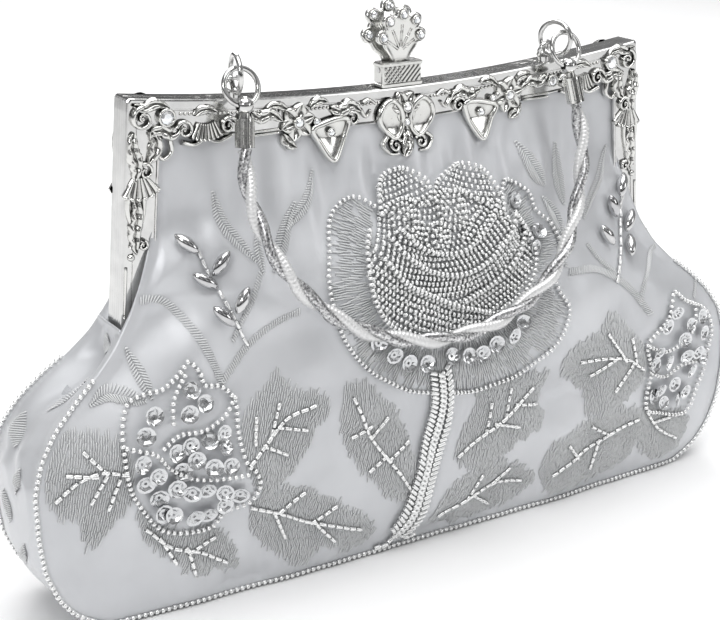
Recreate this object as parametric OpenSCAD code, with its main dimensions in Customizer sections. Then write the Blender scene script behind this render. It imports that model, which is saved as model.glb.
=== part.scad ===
// Evening bag: a beaded satin pouch on a two-half hinged metal frame, with a lever clasp and a rope handle.
// X runs along the bag, Y from front to back, Z up. The origin is the middle of the base.

/* [Frame] */
// Width of the closed frame across its top corners
frame_w = 194; // [190:1:198]
// Height of the frame's top corners above the base
corner_z = 162; // [160:1:164]
// How far the top rail dips in the middle
rail_dip = 6.4; // [5:0.1:8]
// Height of the hinge axis above the base
hinge_z = 86; // [85:1:87]
// How far each arm leans outward from the corner down to the hinge
arm_flare = 6; // [5:0.5:7]
// Width of the frame's band, seen from the front
band_w = 11; // [10:0.5:12]
// Thickness of one frame half, front to back
half_t = 4.5; // [4.3:0.1:4.8]
// Gap between the two closed halves
parting_gap = 0.4; // [0.3:0.1:0.6]
// Sheet thickness of the frame channel
wall = 0.9; // [0.8:0.1:1]

/* [Pouch] */
// Half depth of the pouch at its fullest
belly = 28; // [26:0.5:29]
// Half depth of the base at the middle of the front seam
base_half_depth = 19.5; // [18:0.5:20]
// How square the pouch is along its length: a higher power is squarer
fullness = 2.6; // [2.2:0.1:3]
// Thickness of the satin with its interlining
satin_t = 0.7; // [0.5:0.1:0.8]

/* [Clasp] */
// Distance of the clasp from the middle of the rail
clasp_x = -1.5; // [-2:0.5:0]
// Width of the clasp collar
collar_w = 16; // [14:1:18]
// Height of the clasp collar
collar_h = 8; // [7:0.5:9]

/* [Handle] */
// Wire radius of the chain rings
ring_r = 0.85; // [0.7:0.05:0.9]
// Radius of a chain ring to the middle of its wire
ring_big_r = 5.65; // [5.6:0.05:5.7]
// Radius of the rope
rope_r = 2.7; // [2.4:0.1:2.8]
// Radius of the ball above each cap
ball_r = 2.75; // [2.6:0.05:2.9]

/* [Hidden] */
$fn = 48;
clear = 0.3;
frame_front = parting_gap / 2 + half_t;
arm_end_z = hinge_z + 5.5;
arm_x = frame_w / 2 + arm_flare * (corner_z - arm_end_z) / (corner_z - hinge_z);
saddle_steps = 24;
ear_r = 4.5;
ear_t = 1.1;
front_ear_x = 101.3;
rear_ear_x = 99.8;
rivet_r = 1.5;
rivet_head_r = 2.6;
// The satin runs up into the channel to this depth below the rail's top
satin_inset = 4;
// Above this height the rows of the pouch's surface follow the saddle of the rail
row_split = 98;
row_top = 150;
slot_depth = 3.5;
// Half length of the pouch at each height: the side seam, then the edge inside the arm's channel
side_pts = [[1, 116], [4, 122], [8, 127], [14, 131.5], [24, 135.5], [36, 137], [50, 137], [60, 135],
    [68, 130],
    [75, 122], [81, 112], [86, 102], [90, 91], [94, 91], [97, 94.5], [200, 94.5]];
// Half length over which the pouch bulges at each row: it lies flat inside the arm's channel
bulge_pts = [[86, 101], [90, 86], [94, 84], [97, 83.4], [150, 79], [200, 79]];
// Half depth of the pouch along its side seam at each height
edge_pts = [[1, 17], [8, 17.5], [20, 18], [40, 18], [60, 16.5], [72, 14], [80, 11.5], [86, 8.5], [90, 6],
    [94, slot_depth], [200, slot_depth]];
// Half depth of the pouch in the middle of its length at each row
belly_pts = [[1, base_half_depth], [10, belly - 4.5], [30, belly - 1], [54, belly], [77, belly - 1.5],
    [98, belly - 5], [116, 15.5], [125, 10.5], [132, 6.2], [138, 4.4], [142, slot_depth], [200,
        slot_depth]];
pouch_rows = [1.3, 4, 8, 14, 24, 36, 50, 60, 68, 75, 81, 86, 90, 94, 97, 104, 112, 120, 128, 134, 139,
    142, 146, 150];
// Link geometry of the handle chain: both sides share the two swing axes
link_y = -2.3;
link_z = 162;
hook_dy = -6.15;
hook_dz = 6.15;
left_eyelet_x = -61.3;
right_eyelet_x = 57.6;
left_turn = -12;
right_turn = 25;
drop_dir = [0, -0.35, -0.937];
left_hook_x = left_eyelet_x - 1.3;
right_hook_x = right_eyelet_x + 2.9;
left_cap_dir = [-0.12, -0.2, -0.972];
right_cap_dir = [0.14, -0.2, -0.97];
cap_start = 4;
cap_len = 8.6;
// Embroidery thread lies on the satin, beads and sequins lie over the thread
thread_gap = 0.45;
thread_t = 0.5;
rose_gap = 0.9;
bead_gap = 1.25;
bead_t = 1.4;
// Clasp: the collar's box, the pin through it and the two leaves
collar_z = corner_z - rail_dip;
collar_front = -5.6;
collar_back = 1.4;
pin_y = -2.6;
pin_z = collar_z + collar_h - 2.4;
pin_r = 0.8;
barrel_r = 1.7;
lever_lean = 6;
rear_lean = 12;
leaf_t = 1.7;
// Route of the rope from the mouth of the left cap to the mouth of the right cap
rope_route = [[-64.15, -15, 144.9], [-65, -17, 138], [-65, -20, 130], [-63, -24, 120], [-59, -28, 110.5],
    [-53, -30.5, 102], [-45, -32, 94.5], [-36, -33, 88.5], [-25, -33.5, 83.5], [-13, -33.5, 80], [0,
        -33.5, 78.5],
    [12, -33.5, 79.5], [23, -33, 82], [33, -32, 86], [42, -30.5, 91.5], [49, -28.5, 98.5], [54, -26, 106],
    [58.5, -23, 115], [61.5, -20.5, 125], [63, -18, 134], [62.3, -15, 144.8]];

// ---- Shape of the pouch ----

function rail_z(x) = corner_z - rail_dip * (1 - pow(2 * x / frame_w, 2));
function side_x(z) = lookup(z, side_pts);
function bulge_x(row) = row < 86 ? side_x(row) : lookup(row, bulge_pts);
function row_z(row, x) = row <= row_split ? row
    : row_split + (row - row_split) / (row_top - row_split) * (rail_z(x) - satin_inset - row_split);
function row_of(x, z) = z <= row_split ? z
    : row_split + (z - row_split) / (rail_z(x) - satin_inset - row_split) * (row_top - row_split);
// Half depth at a fraction u of the half length
function half_depth(u, row) = lookup(row, edge_pts)
    + (lookup(row, belly_pts) - lookup(row, edge_pts)) * (1 - pow(min(1,
        abs(u) * side_x(row) / bulge_x(row)), fullness));
// A point of the front surface, moved inward by off
function front_point(u, row, off) = [u * side_x(row), -(half_depth(u, row) - off), row_z(row,
    u * side_x(row))];
// Half depth of the front surface over a point of the front view
function depth_at(x, z) = half_depth(x / side_x(row_of(x, z)), row_of(x, z));

// ---- Building blocks ----

// Closed solid between two grids of points with the same layout, rows by columns
module slab_between(outer, inner) {
    rows = len(outer);
    cols = len(outer[0]);
    n = rows * cols;
    points = concat([for (r = outer) for (p = r) p], [for (r = inner) for (p = r) p]);
    skins = [for (r = [0 : rows - 2]) for (c = [0 : cols - 2])
        each [[r * cols + c, (r + 1) * cols + c, (r + 1) * cols + c + 1, r * cols + c + 1],
            [n + r * cols + c, n + r * cols + c + 1, n + (r + 1) * cols + c + 1, n + (r + 1) * cols + c]]];
    ends = [for (c = [0 : cols - 2])
        each [[c, c + 1, n + c + 1, n + c],
            [(rows - 1) * cols + c, n + (rows - 1) * cols + c, n + (rows - 1) * cols + c + 1,
                (rows - 1) * cols + c + 1]]];
    sides = [for (r = [0 : rows - 2])
        each [[r * cols, n + r * cols, n + (r + 1) * cols, (r + 1) * cols],
            [r * cols + cols - 1, (r + 1) * cols + cols - 1, n + (r + 1) * cols + cols - 1,
                n + r * cols + cols - 1]]];
    polyhedron(points, concat([for (f = skins) f], ends, sides), convexity = 6);
}

// Sheet that follows the front of the pouch between two fractions of its length and a list of rows
module front_sheet(reach, cols, rows, off, t) {
    us = [for (i = [0 : cols]) reach * (2 * i / cols - 1)];
    slab_between([for (r = rows) [for (u = us) front_point(u, r, off)]],
        [for (r = rows) [for (u = us) front_point(u, r, off + t)]]);
}

// Elliptical patch on the front of the pouch, standing gap off the satin
module patch(centre, radii, turn, gap, t) {
    rings = [0.001, 0.34, 0.67, 1];
    steps = 16;
    spots = [for (k = rings) [for (i = [0 : steps])
        [centre[0] + k * (radii[0] * cos(i * 360 / steps) * cos(turn) - radii[1] * sin(i
            * 360 / steps) * sin(turn)),
         centre[1] + k * (radii[0] * cos(i * 360 / steps) * sin(turn) + radii[1] * sin(i
             * 360 / steps) * cos(turn))]]];
    n = len(rings) * steps;
    points = concat([for (r = spots) for (i = [0 : steps - 1]) [r[i][0], -depth_at(r[i][0],
        r[i][1]) - gap - t, r[i][1]]],
        [for (r = spots) for (i = [0 : steps - 1]) [r[i][0], -depth_at(r[i][0], r[i][1]) - gap, r[i][1]]]);
    last = (len(rings) - 1) * steps;
    skins = [for (r = [0 : len(rings) - 2]) for (i = [0 : steps - 1])
        each [[r * steps + i, r * steps + (i + 1) % steps, (r + 1) * steps + (i + 1) % steps,
            (r + 1) * steps + i],
            [n + r * steps + i, n + (r + 1) * steps + i, n + (r + 1) * steps + (i + 1) % steps,
                n + r * steps + (i + 1) % steps]]];
    rim = [for (i = [0 : steps - 1]) [last + i, last + (i + 1) % steps, n + last + (i + 1) % steps,
        n + last + i]];
    caps = [[for (i = [steps - 1 : -1 : 0]) i], [for (i = [0 : steps - 1]) n + i]];
    polyhedron(points, concat(skins, rim, caps), convexity = 4);
}

// Round tube of radius r along a list of points
module tube(route, r, sides) {
    last = len(route) - 1;
    unit = [for (i = [0 : last]) let (d = route[min(i + 1, last)] - route[max(i - 1, 0)]) d / norm(d)];
    points = [for (i = [0 : last]) let (a = cross(unit[i], [0, 1, 0.03]), s = a / norm(a),
        q = cross(unit[i], s))
        for (k = [0 : sides - 1]) route[i] + r * (cos(k * 360 / sides) * s + sin(k * 360 / sides) * q)];
    skin = [for (i = [0 : last - 1]) for (k = [0 : sides - 1])
        [i * sides + k, i * sides + (k + 1) % sides, (i + 1) * sides + (k + 1) % sides,
            (i + 1) * sides + k]];
    polyhedron(points, concat(skin, [[for (k = [sides - 1 : -1 : 0]) k],
        [for (k = [0 : sides - 1]) last * sides + k]]),
        convexity = 6);
}

// Plate of the front view's outline, its back face at y_back
module front_plate(y_back, t) {
    translate([0, y_back, 0]) rotate([90, 0, 0]) linear_extrude(t) children();
}

// Plate of the side view's outline (y, z), starting at x_start
module side_plate(x_start, t) {
    translate([x_start, 0, 0]) rotate([90, 0, 90]) linear_extrude(t) children();
}

// Turns a solid's Z axis to a direction
module along(dir) {
    n = dir / norm(dir);
    rotate([0, acos(n[2]), atan2(n[1], n[0])]) children();
}

module ring(big, small) {
    rotate_extrude() translate([big, 0]) circle(small, $fn = 24);
}

module rear() {
    mirror([0, 1, 0]) children();
}

// ---- Soft parts ----

module front_panel() {
    color("silver") front_sheet(1, 26, pouch_rows, 0, satin_t);
}

module rear_panel() {
    color("silver") rear() front_sheet(1, 26, pouch_rows, 0, satin_t);
}

module right_gusset() {
    rows = [1.3, 4, 8, 14, 24, 36, 50, 60, 68, 75, 80, 83];
    cols = 6;
    ys = [for (i = [0 : cols]) 1 - 2 * i / cols];
    color("silver") slab_between(
        [for (r = rows) [for (v = ys) [side_x(r), -v * (lookup(r, edge_pts) - satin_t - clear), r]]],
        [for (r = rows) [for (v = ys) [side_x(r) - satin_t, -v * (lookup(r,
            edge_pts) - satin_t - clear), r]]]);
}

module left_gusset() {
    mirror([1, 0, 0]) right_gusset();
}

module base_outline(inset) {
    cols = 12;
    us = [for (i = [0 : cols]) 2 * i / cols - 1];
    length = side_x(1) - inset;
    polygon(concat([for (u = us) [u * length, -(half_depth(u, 1) - inset)]],
        [for (u = us) [-u * length, half_depth(u, 1) - inset]]));
}

module base_panel() {
    color("silver") linear_extrude(0.9) base_outline(0.5);
}

module base_board() {
    color("tan") translate([0, 0, 1.2]) linear_extrude(1.6) base_outline(4);
}

// Lining of the lower pouch: one cup, open at the top
module lining_tub() {
    cloth = 0.8;
    gap = 1.2;
    cols = 12;
    levels = [3.4, 8, 16, 28, 42, 56, 66, 74, 80];
    us = [for (i = [0 : cols]) 2 * i / cols - 1];
    loops = concat([for (z = levels) [z, gap]], [for (i = [len(levels) - 1 : -1 : 0])
        [i == 0 ? levels[0] + cloth : levels[i], gap + cloth]]);
    points = [for (q = loops) each concat(
        [for (u = us) [u * (side_x(q[0]) - q[1] - satin_t), -(half_depth(u, q[0]) - q[1] - satin_t), q[0]]],
        [for (u = us) [-u * (side_x(q[0]) - q[1] - satin_t), half_depth(u, q[0]) - q[1] - satin_t, q[0]]])];
    n = 2 * (cols + 1);
    skin = [for (r = [0 : len(loops) - 2]) for (i = [0 : n - 1])
        [r * n + i, (r + 1) * n + i, (r + 1) * n + (i + 1) % n, r * n + (i + 1) % n]];
    last = (len(loops) - 1) * n;
    color("lightgray") polyhedron(points, concat(skin, [[for (i = [0 : n - 1]) i],
        [for (i = [n - 1 : -1 : 0]) last + i]]), convexity = 6);
}

module front_lining() {
    color("lightgray") front_sheet(0.93, 18, [90, 94, 97, 104, 112, 120, 128, 134, 139, 142, 149.5],
        1.4, satin_t);
}

module rear_lining() {
    color("lightgray") rear() front_sheet(0.93, 18, [90, 94, 97, 104, 112, 120, 128, 134, 139, 142,
        149.5], 1.4, satin_t);
}

module inner_pocket() {
    color("gainsboro") rear() front_sheet(0.32, 8, [22, 30, 40, 50, 58], 3.3, satin_t);
}

function seam_point(side, z) = [side * (side_x(z) + 0.7), -(lookup(z, edge_pts) + 1.2), z];

module front_piping() {
    heights = [78, 72, 66, 60, 50, 36, 24, 14, 8, 4];
    bottom_steps = 16;
    reach = 113;
    color("white") tube(concat([for (z = heights) seam_point(-1, z)],
        [for (i = [0 : bottom_steps]) let (x = reach * (2 * i / bottom_steps - 1))
            [x, -(half_depth(x / side_x(1), 1) + 1.4), 1.5]],
        [for (i = [len(heights) - 1 : -1 : 0]) seam_point(1, heights[i])]), 0.9, 8);
}

module rear_piping() {
    rear() front_piping();
}

// ---- Embroidery ----

module rose_petals() {
    color("darkgray") patch([5, 92], [46, 35], 0, rose_gap, thread_t);
}

module rose_beads() {
    color("white") patch([5, 101], [32, 24], 0, rose_gap + thread_t + clear, bead_t);
}

module stem_beads() {
    color("white") patch([-2, 31], [3, 25], -12, bead_gap, bead_t);
}

module leaf_embroidery() {
    color("gray") {
        patch([-25, 40], [7, 16], 38, thread_gap, thread_t);
        patch([27, 46], [7, 20], -55, thread_gap, thread_t);
        patch([25, 20], [6, 19], -75, thread_gap, thread_t);
        patch([-112, 62], [12, 11], 0, thread_gap, thread_t);
        patch([-62, 66], [9, 15], -35, thread_gap, thread_t);
        patch([-58, 36], [8, 19], -75, thread_gap, thread_t);
        patch([-100, 22], [18, 8], 10, thread_gap, thread_t);
        patch([83, 66], [7, 14], 30, thread_gap, thread_t);
        patch([88, 34], [7, 17], 60, thread_gap, thread_t);
    }
}

module vine_embroidery() {
    color("gray") {
        patch([-60, 87], [3, 8], 35, thread_gap, thread_t);
        patch([-64, 119], [3, 9], -20, thread_gap, thread_t);
        patch([-52, 122], [3, 8], -40, thread_gap, thread_t);
        patch([70, 116], [3, 9], -15, thread_gap, thread_t);
        patch([64, 87], [3, 8], -40, thread_gap, thread_t);
    }
}

module left_bud_sequins() {
    color("white") patch([-90, 52], [20, 22], 0, bead_gap, bead_t);
}

module right_bud_sequins() {
    color("white") patch([112, 50], [13, 17], -20, bead_gap, bead_t);
}

module sprig_beads() {
    color("silver") {
        patch([-78, 108], [6, 11], 30, bead_gap, bead_t);
        patch([86, 106], [4, 11], -20, bead_gap, bead_t);
    }
}

module rear_petals() {
    rear() rose_petals();
}

module rear_rose_beads() {
    rear() rose_beads();
    rear() stem_beads();
}

module rear_leaf_embroidery() {
    rear() leaf_embroidery();
}

module rear_bud_sequins() {
    rear() left_bud_sequins();
    rear() right_bud_sequins();
}

// ---- Frame ----

// Outline of one frame half in the front view, moved inward by inset and ending at low_z
module frame_outline(inset, low_z) {
    half = frame_w / 2 - inset;
    foot = arm_x - inset + arm_flare * (arm_end_z - low_z) / (corner_z - hinge_z);
    polygon(concat([[-foot, low_z]],
        [for (i = [0 : saddle_steps]) let (x = half * (2 * i / saddle_steps - 1)) [x, rail_z(x) - inset]],
        [[foot, low_z]]));
}

module ear_outline() {
    circle_z = hinge_z;
    translate([0, circle_z]) circle(ear_r);
    polygon([[-frame_front, hinge_z], [-parting_gap / 2, hinge_z], [-parting_gap / 2, arm_end_z + 4],
        [-frame_front, arm_end_z + 4]]);
}

// Front half of the frame: a channel open toward the cloth, with one ear at each hinge
module half_channel(ear_x) {
    difference() {
        front_plate(-parting_gap / 2, half_t) difference() {
            frame_outline(0, arm_end_z);
            frame_outline(band_w, arm_end_z - 1);
        }
        front_plate(-parting_gap / 2 - wall, half_t - 2 * wall) difference() {
            frame_outline(wall, arm_end_z - 1);
            frame_outline(band_w + 1, arm_end_z - 2);
        }
    }
    for (x = [ear_x, -ear_x - ear_t])
        side_plate(x, ear_t) difference() {
            ear_outline();
            translate([0, hinge_z]) circle(rivet_r + 0.1);
        }
}

module front_frame_channel() {
    color("whitesmoke") half_channel(front_ear_x);
}

module rear_frame_channel() {
    color("whitesmoke") rear() half_channel(rear_ear_x);
}

// Cast ornament: a corner piece with a fan, flowers, pointed drops and a middle cluster
module filigree_band() {
    ornament_t = 2.2;
    corner_drop = 44;
    front_plate(-frame_front, ornament_t) {
        intersection() {
            difference() {
                frame_outline(0.8, corner_z - corner_drop);
                frame_outline(band_w - 1, corner_z - corner_drop - 1);
            }
            for (s = [-1, 1]) translate([s * 97, corner_z - corner_drop / 2 + 2]) square([44,
                corner_drop + 6], center = true);
        }
        for (s = [-1, 1]) {
            translate([s * 66, rail_z(66) - 6]) scale([1.6, 1]) circle(4.6);
            translate([s * 40.5, rail_z(40.5) - 6.5]) circle(5);
            translate([s * 22, rail_z(22) - 6]) circle(4.2);
        }
        translate([0, rail_z(0) - 6]) scale([1.5, 1]) circle(5.2);
    }
    // The drops hang below the band and stand forward of the satin
    front_plate(-frame_front - 1.7, ornament_t) {
        for (s = [-1, 1]) polygon([[s * 36, 146.2], [s * 30, 135], [s * 27.5, 135.5], [s * 20, 148]]);
        polygon([[-12, 145.5], [-5.5, 133.5], [-2.5, 134.5], [6, 135], [12, 145.5]]);
    }
}

module front_filigree() {
    color("silver") filigree_band();
}

module rear_filigree() {
    color("silver") rear() filigree_band();
}

module stone(x, z, y, r) {
    translate([x, y, z]) rotate([90, 0, 0]) {
        cylinder(h = 0.6, r = r);
        translate([0, 0, 0.6]) cylinder(h = 0.5, r1 = r, r2 = r * 0.55);
    }
}

module frame_stones() {
    seat = -frame_front - 2.2;
    stone_r = 1.3;
    petal_r = 3.1;
    for (s = [-1, 1]) {
        stone(s * 84.5, 155.3, seat, 1.7);
        stone(s * 40.5, rail_z(40.5) - 6.5, seat, stone_r);
        for (a = [0 : 72 : 359])
            stone(s * 40.5 + petal_r * cos(a + 18), rail_z(40.5) - 6.5 + petal_r * sin(a + 18), seat, 1);
        stone(s * 22, rail_z(22) - 6, seat, stone_r);
        stone(s * 62, rail_z(62) - 6, seat, stone_r);
    }
    stone(0, rail_z(0) - 6, seat, stone_r);
    for (a = [0 : 60 : 359])
        stone(petal_r * cos(a), rail_z(0) - 6 + petal_r * sin(a), seat, 1);
}

module front_frame_stones() {
    color("lightcyan") frame_stones();
}

module rear_frame_stones() {
    color("lightcyan") rear() frame_stones();
}

module retainer() {
    strip_t = 0.5;
    front_plate(-slot_depth + satin_t + strip_t + 0.1, strip_t) difference() {
        frame_outline(wall + 0.4, 104);
        frame_outline(band_w - 3, 103);
    }
}

module front_retainer() {
    color("dimgray") retainer();
}

module rear_retainer() {
    color("dimgray") rear() retainer();
}

module hinge_rivet(side) {
    head_t = 1.0;
    inner_x = rear_ear_x - 0.2 - head_t;
    outer_x = front_ear_x + ear_t + 0.2;
    translate([side > 0 ? inner_x : -outer_x - head_t, 0, hinge_z]) rotate([0, 90, 0]) {
        cylinder(h = outer_x + head_t - inner_x, r = rivet_r);
        cylinder(h = head_t, r = rivet_head_r);
        translate([0, 0, outer_x - inner_x]) cylinder(h = head_t, r = rivet_head_r);
    }
}

module left_hinge_rivet() {
    color("silver") hinge_rivet(-1);
}

module right_hinge_rivet() {
    color("silver") hinge_rivet(1);
}

// ---- Clasp ----

module collar_block(inset, low, high) {
    translate([clasp_x - collar_w / 2 + inset, collar_front + inset, low])
        cube([collar_w - 2 * inset, collar_back - collar_front - 2 * inset, high - low]);
}

module clasp_collar() {
    well_w = 10;
    foot_w = 13;
    color("silver") difference() {
        union() {
            collar_block(0, collar_z + 0.9, collar_z + collar_h - 0.7);
            collar_block(0.6, collar_z + 0.5, collar_z + collar_h);
            translate([clasp_x - foot_w / 2, -4.6, collar_z - 0.1]) cube([foot_w, 4.3, 1]);
        }
        translate([clasp_x - well_w / 2, pin_y - 2.2, collar_z + 2]) cube([well_w, 4.4, collar_h]);
        translate([clasp_x - collar_w, pin_y, pin_z]) rotate([0, 90, 0]) cylinder(h = 2 * collar_w,
            r = pin_r + 0.05);
        // Seats of the two rivets from below
        for (x = [-5.9, 5.9]) translate([clasp_x + x, -2.4, collar_z - 1]) cylinder(h = 3, r = 0.8);
        // The rail's saddle, so that the foot sits on it
        front_plate(-parting_gap / 2, half_t) frame_outline(0, 100);
    }
}

module collar_rivets() {
    for (x = [-5.9, 5.9]) translate([clasp_x + x, -2.4, collar_z
        + 0.35]) color("dimgray") cylinder(h = 1.5, r = 0.75);
}

// Fan-shaped leaf in the front view: a neck, a rounded body and five lobes around it
module leaf_outline(body_r, lobe_r, neck_w, low_z, centre_z) {
    difference() {
        union() {
            translate([0, centre_z]) circle(body_r - 0.3);
            for (a = [0 : 45 : 180]) translate([body_r * cos(a),
                centre_z + body_r * sin(a)]) circle(lobe_r);
            polygon([[-neck_w / 2, low_z], [neck_w / 2, low_z], [body_r * 0.9, centre_z],
                [-body_r * 0.9, centre_z]]);
        }
        // The underside narrows to the neck
        for (s = [-1, 1]) translate([s * (neck_w / 2 + body_r), low_z - 1]) scale([1, 0.9]) circle(body_r);
    }
}

module leaf_stones(body_r, stone_r, centre_z, y) {
    for (a = [0 : 45 : 180]) stone(body_r * cos(a), centre_z + body_r * sin(a), y, stone_r);
}

module rear_fan_place() {
    translate([clasp_x, 0.6, collar_z + collar_h]) rotate([-rear_lean, 0, 0]) children();
}

module rear_fan() {
    color("silver") {
        rear_fan_place() front_plate(leaf_t / 2, leaf_t) leaf_outline(8.6, 2.4, 8.5, 0.3, 8.3);
    }
}

module rear_fan_stones() {
    color("lightcyan") rear_fan_place() leaf_stones(8.6, 1.6, 8.3, -leaf_t / 2);
}

module lever_place() {
    translate([clasp_x, pin_y, pin_z]) rotate([lever_lean, 0, 0]) children();
}

module front_fan_lever() {
    barrel_w = 5.2;
    color("silver") lever_place() difference() {
        union() {
            front_plate(leaf_t / 2, leaf_t) leaf_outline(7, 2.2, 5, 0, 10.6);
            translate([-barrel_w / 2, 0, 0]) rotate([0, 90, 0]) cylinder(h = barrel_w, r = barrel_r);
        }
        translate([-10, 0, 0]) rotate([0, 90, 0]) cylinder(h = 20, r = pin_r + 0.1);
    }
}

module front_fan_stones() {
    color("lightcyan") lever_place() leaf_stones(7, 1.5, 10.6, -leaf_t / 2);
}

module lever_pin() {
    color("gainsboro") translate([clasp_x - collar_w / 2 + 0.3, pin_y, pin_z]) rotate([0, 90, 0])
        cylinder(h = collar_w - 0.6, r = pin_r);
}

// Torsion spring on the pin, beside the lever's barrel
module lever_spring() {
    coil_r = 1.35;
    wire_r = 0.3;
    color("dimgray") for (i = [0 : 1]) translate([clasp_x + 3.3 + i * 0.75, pin_y, pin_z]) rotate([0,
        90, 0])
        ring(coil_r, wire_r);
}

// Tongue on the rear half that stands behind the collar when the frame is shut
module catch_tongue() {
    tongue_w = 7;
    color("silver") translate([clasp_x - tongue_w / 2, collar_back + clear, collar_z + 0.03]) difference() {
        cube([tongue_w, 2.2, 5.8]);
        translate([1.6, -1, 2.4]) cube([tongue_w - 3.2, 4.2, 1.8]);
    }
}

// ---- Handle ----

module eyelet(x, turn) {
    hole_r = 2.7;
    wire = 0.8;
    tilt = 27;
    foot_z = rail_z(x);
    translate([x, link_y, link_z]) rotate([0, 0, turn]) rotate([90 + tilt, 0, 0]) ring(hole_r, wire);
    difference() {
        translate([x, link_y, foot_z - 1]) cylinder(h = 2.6, r = 1.9);
        front_plate(-parting_gap / 2, half_t) frame_outline(0, 100);
    }
}

module left_eyelet() {
    color("silver") eyelet(left_eyelet_x, left_turn);
}

module right_eyelet() {
    color("silver") eyelet(right_eyelet_x, right_turn);
}

// Ring whose plane holds the vertical and is turned about it, hooked through the eyelet and leaning forward
module link_ring(x, turn) {
    reach = [tan(turn), -1, 1];
    lean = reach / norm(reach);
    middle = [x, link_y, link_z] + ring_big_r * lean;
    color("silver") translate(middle) rotate([0, 0, turn]) rotate([0, 90, 0]) ring(ring_big_r, ring_r);
}

module left_link_ring() {
    link_ring(left_eyelet_x, left_turn);
}

module right_link_ring() {
    link_ring(right_eyelet_x, right_turn);
}

function hook_point(x) = [x, link_y + hook_dy, link_z + hook_dz];

module handle_ring(x) {
    color("silver") translate(hook_point(x) + ring_big_r * drop_dir) along([0, -0.937, 0.35])
        ring(ring_big_r, ring_r);
}

module left_handle_ring() {
    handle_ring(left_hook_x);
}

module right_handle_ring() {
    handle_ring(right_hook_x);
}

function ball_point(x) = hook_point(x) + 2 * ring_big_r * drop_dir;

// Ball with a straight hole along X, wide enough for the curve of the ring in it
module ball(x) {
    hole_r = 1.45;
    color("silver") translate(ball_point(x)) rotate([0, 90, 0]) rotate_extrude() difference() {
        circle(ball_r);
        translate([-ball_r, -ball_r]) square([ball_r + hole_r, 2 * ball_r]);
    }
}

module left_ball() {
    ball(left_hook_x);
}

module right_ball() {
    ball(right_hook_x);
}

// Fluted cap on the end of the rope, with a neck up to the ball
module cap(x, dir) {
    cap_r = 3;
    flutes = 10;
    color("silver") difference() {
        translate(ball_point(x)) along(dir) {
            translate([0, 0, 1.6]) cylinder(h = cap_start - 1.6, r = 1.5);
            difference() {
                translate([0, 0, cap_start]) cylinder(h = cap_len, r = cap_r);
                for (i = [0 : flutes - 1]) rotate([0, 0, i * 360 / flutes])
                    translate([cap_r + 0.25, 0, cap_start + 0.8]) cylinder(h = cap_len - 1.6, r = 0.5,
                        $fn = 16);
            }
        }
        translate(ball_point(x)) sphere(ball_r + 0.02);
    }
}

module left_cap() {
    cap(left_hook_x, left_cap_dir);
}

module right_cap() {
    cap(right_hook_x, right_cap_dir);
}

module handle_rope() {
    color("lightgray") tube(rope_route, rope_r, 12);
}

front_panel();
rear_panel();
left_gusset();
right_gusset();
base_panel();
base_board();
lining_tub();
front_lining();
rear_lining();
inner_pocket();
front_piping();
rear_piping();
rose_petals();
rose_beads();
stem_beads();
leaf_embroidery();
vine_embroidery();
left_bud_sequins();
right_bud_sequins();
sprig_beads();
rear_petals();
rear_rose_beads();
rear_leaf_embroidery();
rear_bud_sequins();
front_frame_channel();
rear_frame_channel();
front_filigree();
rear_filigree();
front_frame_stones();
rear_frame_stones();
front_retainer();
rear_retainer();
left_hinge_rivet();
right_hinge_rivet();
clasp_collar();
collar_rivets();
rear_fan();
rear_fan_stones();
front_fan_lever();
front_fan_stones();
lever_pin();
lever_spring();
catch_tongue();
left_eyelet();
right_eyelet();
left_link_ring();
right_link_ring();
left_handle_ring();
right_handle_ring();
left_ball();
right_ball();
left_cap();
right_cap();
handle_rope();
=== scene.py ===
"""Looks of the evening bag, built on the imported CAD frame: satin, lining, embroidery, beads, metalwork and
the rope handle. Shapes are worked out in millimetres and built in metres."""

import math

import bpy
import numpy as np
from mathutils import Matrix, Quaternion, Vector


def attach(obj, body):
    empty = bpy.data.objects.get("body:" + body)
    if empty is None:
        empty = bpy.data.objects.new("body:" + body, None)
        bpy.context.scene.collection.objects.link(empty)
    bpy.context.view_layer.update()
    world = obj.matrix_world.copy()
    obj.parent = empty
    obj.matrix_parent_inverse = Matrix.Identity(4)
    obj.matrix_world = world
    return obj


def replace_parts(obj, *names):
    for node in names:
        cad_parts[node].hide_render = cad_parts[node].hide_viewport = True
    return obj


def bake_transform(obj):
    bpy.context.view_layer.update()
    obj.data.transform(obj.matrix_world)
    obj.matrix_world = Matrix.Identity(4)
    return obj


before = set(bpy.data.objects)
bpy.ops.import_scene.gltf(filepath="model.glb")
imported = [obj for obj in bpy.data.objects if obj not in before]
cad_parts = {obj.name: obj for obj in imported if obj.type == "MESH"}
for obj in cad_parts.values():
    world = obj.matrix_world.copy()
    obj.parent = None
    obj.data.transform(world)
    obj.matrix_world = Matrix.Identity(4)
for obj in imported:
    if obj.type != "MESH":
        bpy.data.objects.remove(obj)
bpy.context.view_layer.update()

MM = 0.001
RNG = np.random.default_rng(11)

# ---------------------------------------------------------------- camera, floor and lights

CAMERA_AZIMUTH, CAMERA_ELEVATION, CAMERA_ROLL = (math.radians(v) for v in (-32.02, 19.35, 0.19))
CAMERA_DISTANCE = 535.76
CAMERA_TARGET = Vector((-14.1, 0.0, 80.46))
LENS_MM, SENSOR_MM = 80.0, 36.0

# name, place, aim, size in metres, power in watts
LIGHTS = [("top", (0.0, -0.15, 1.5), (0, -0.02, 0.0), 1.5, 20.0),
          ("key", (-1.1, -0.8, 0.9), (0, 0, 0.08), 0.35, 5.0),
          ("fill", (1.0, -1.2, 0.5), (0, 0, 0.08), 0.5, 2.0),
          ("rim", (0.4, 1.1, 0.9), (0, 0, 0.1), 0.8, 8.0)]
FLOOR = [(-6, -4, 0), (6, -4, 0), (6, 8, 0), (-6, 8, 0)]

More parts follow.
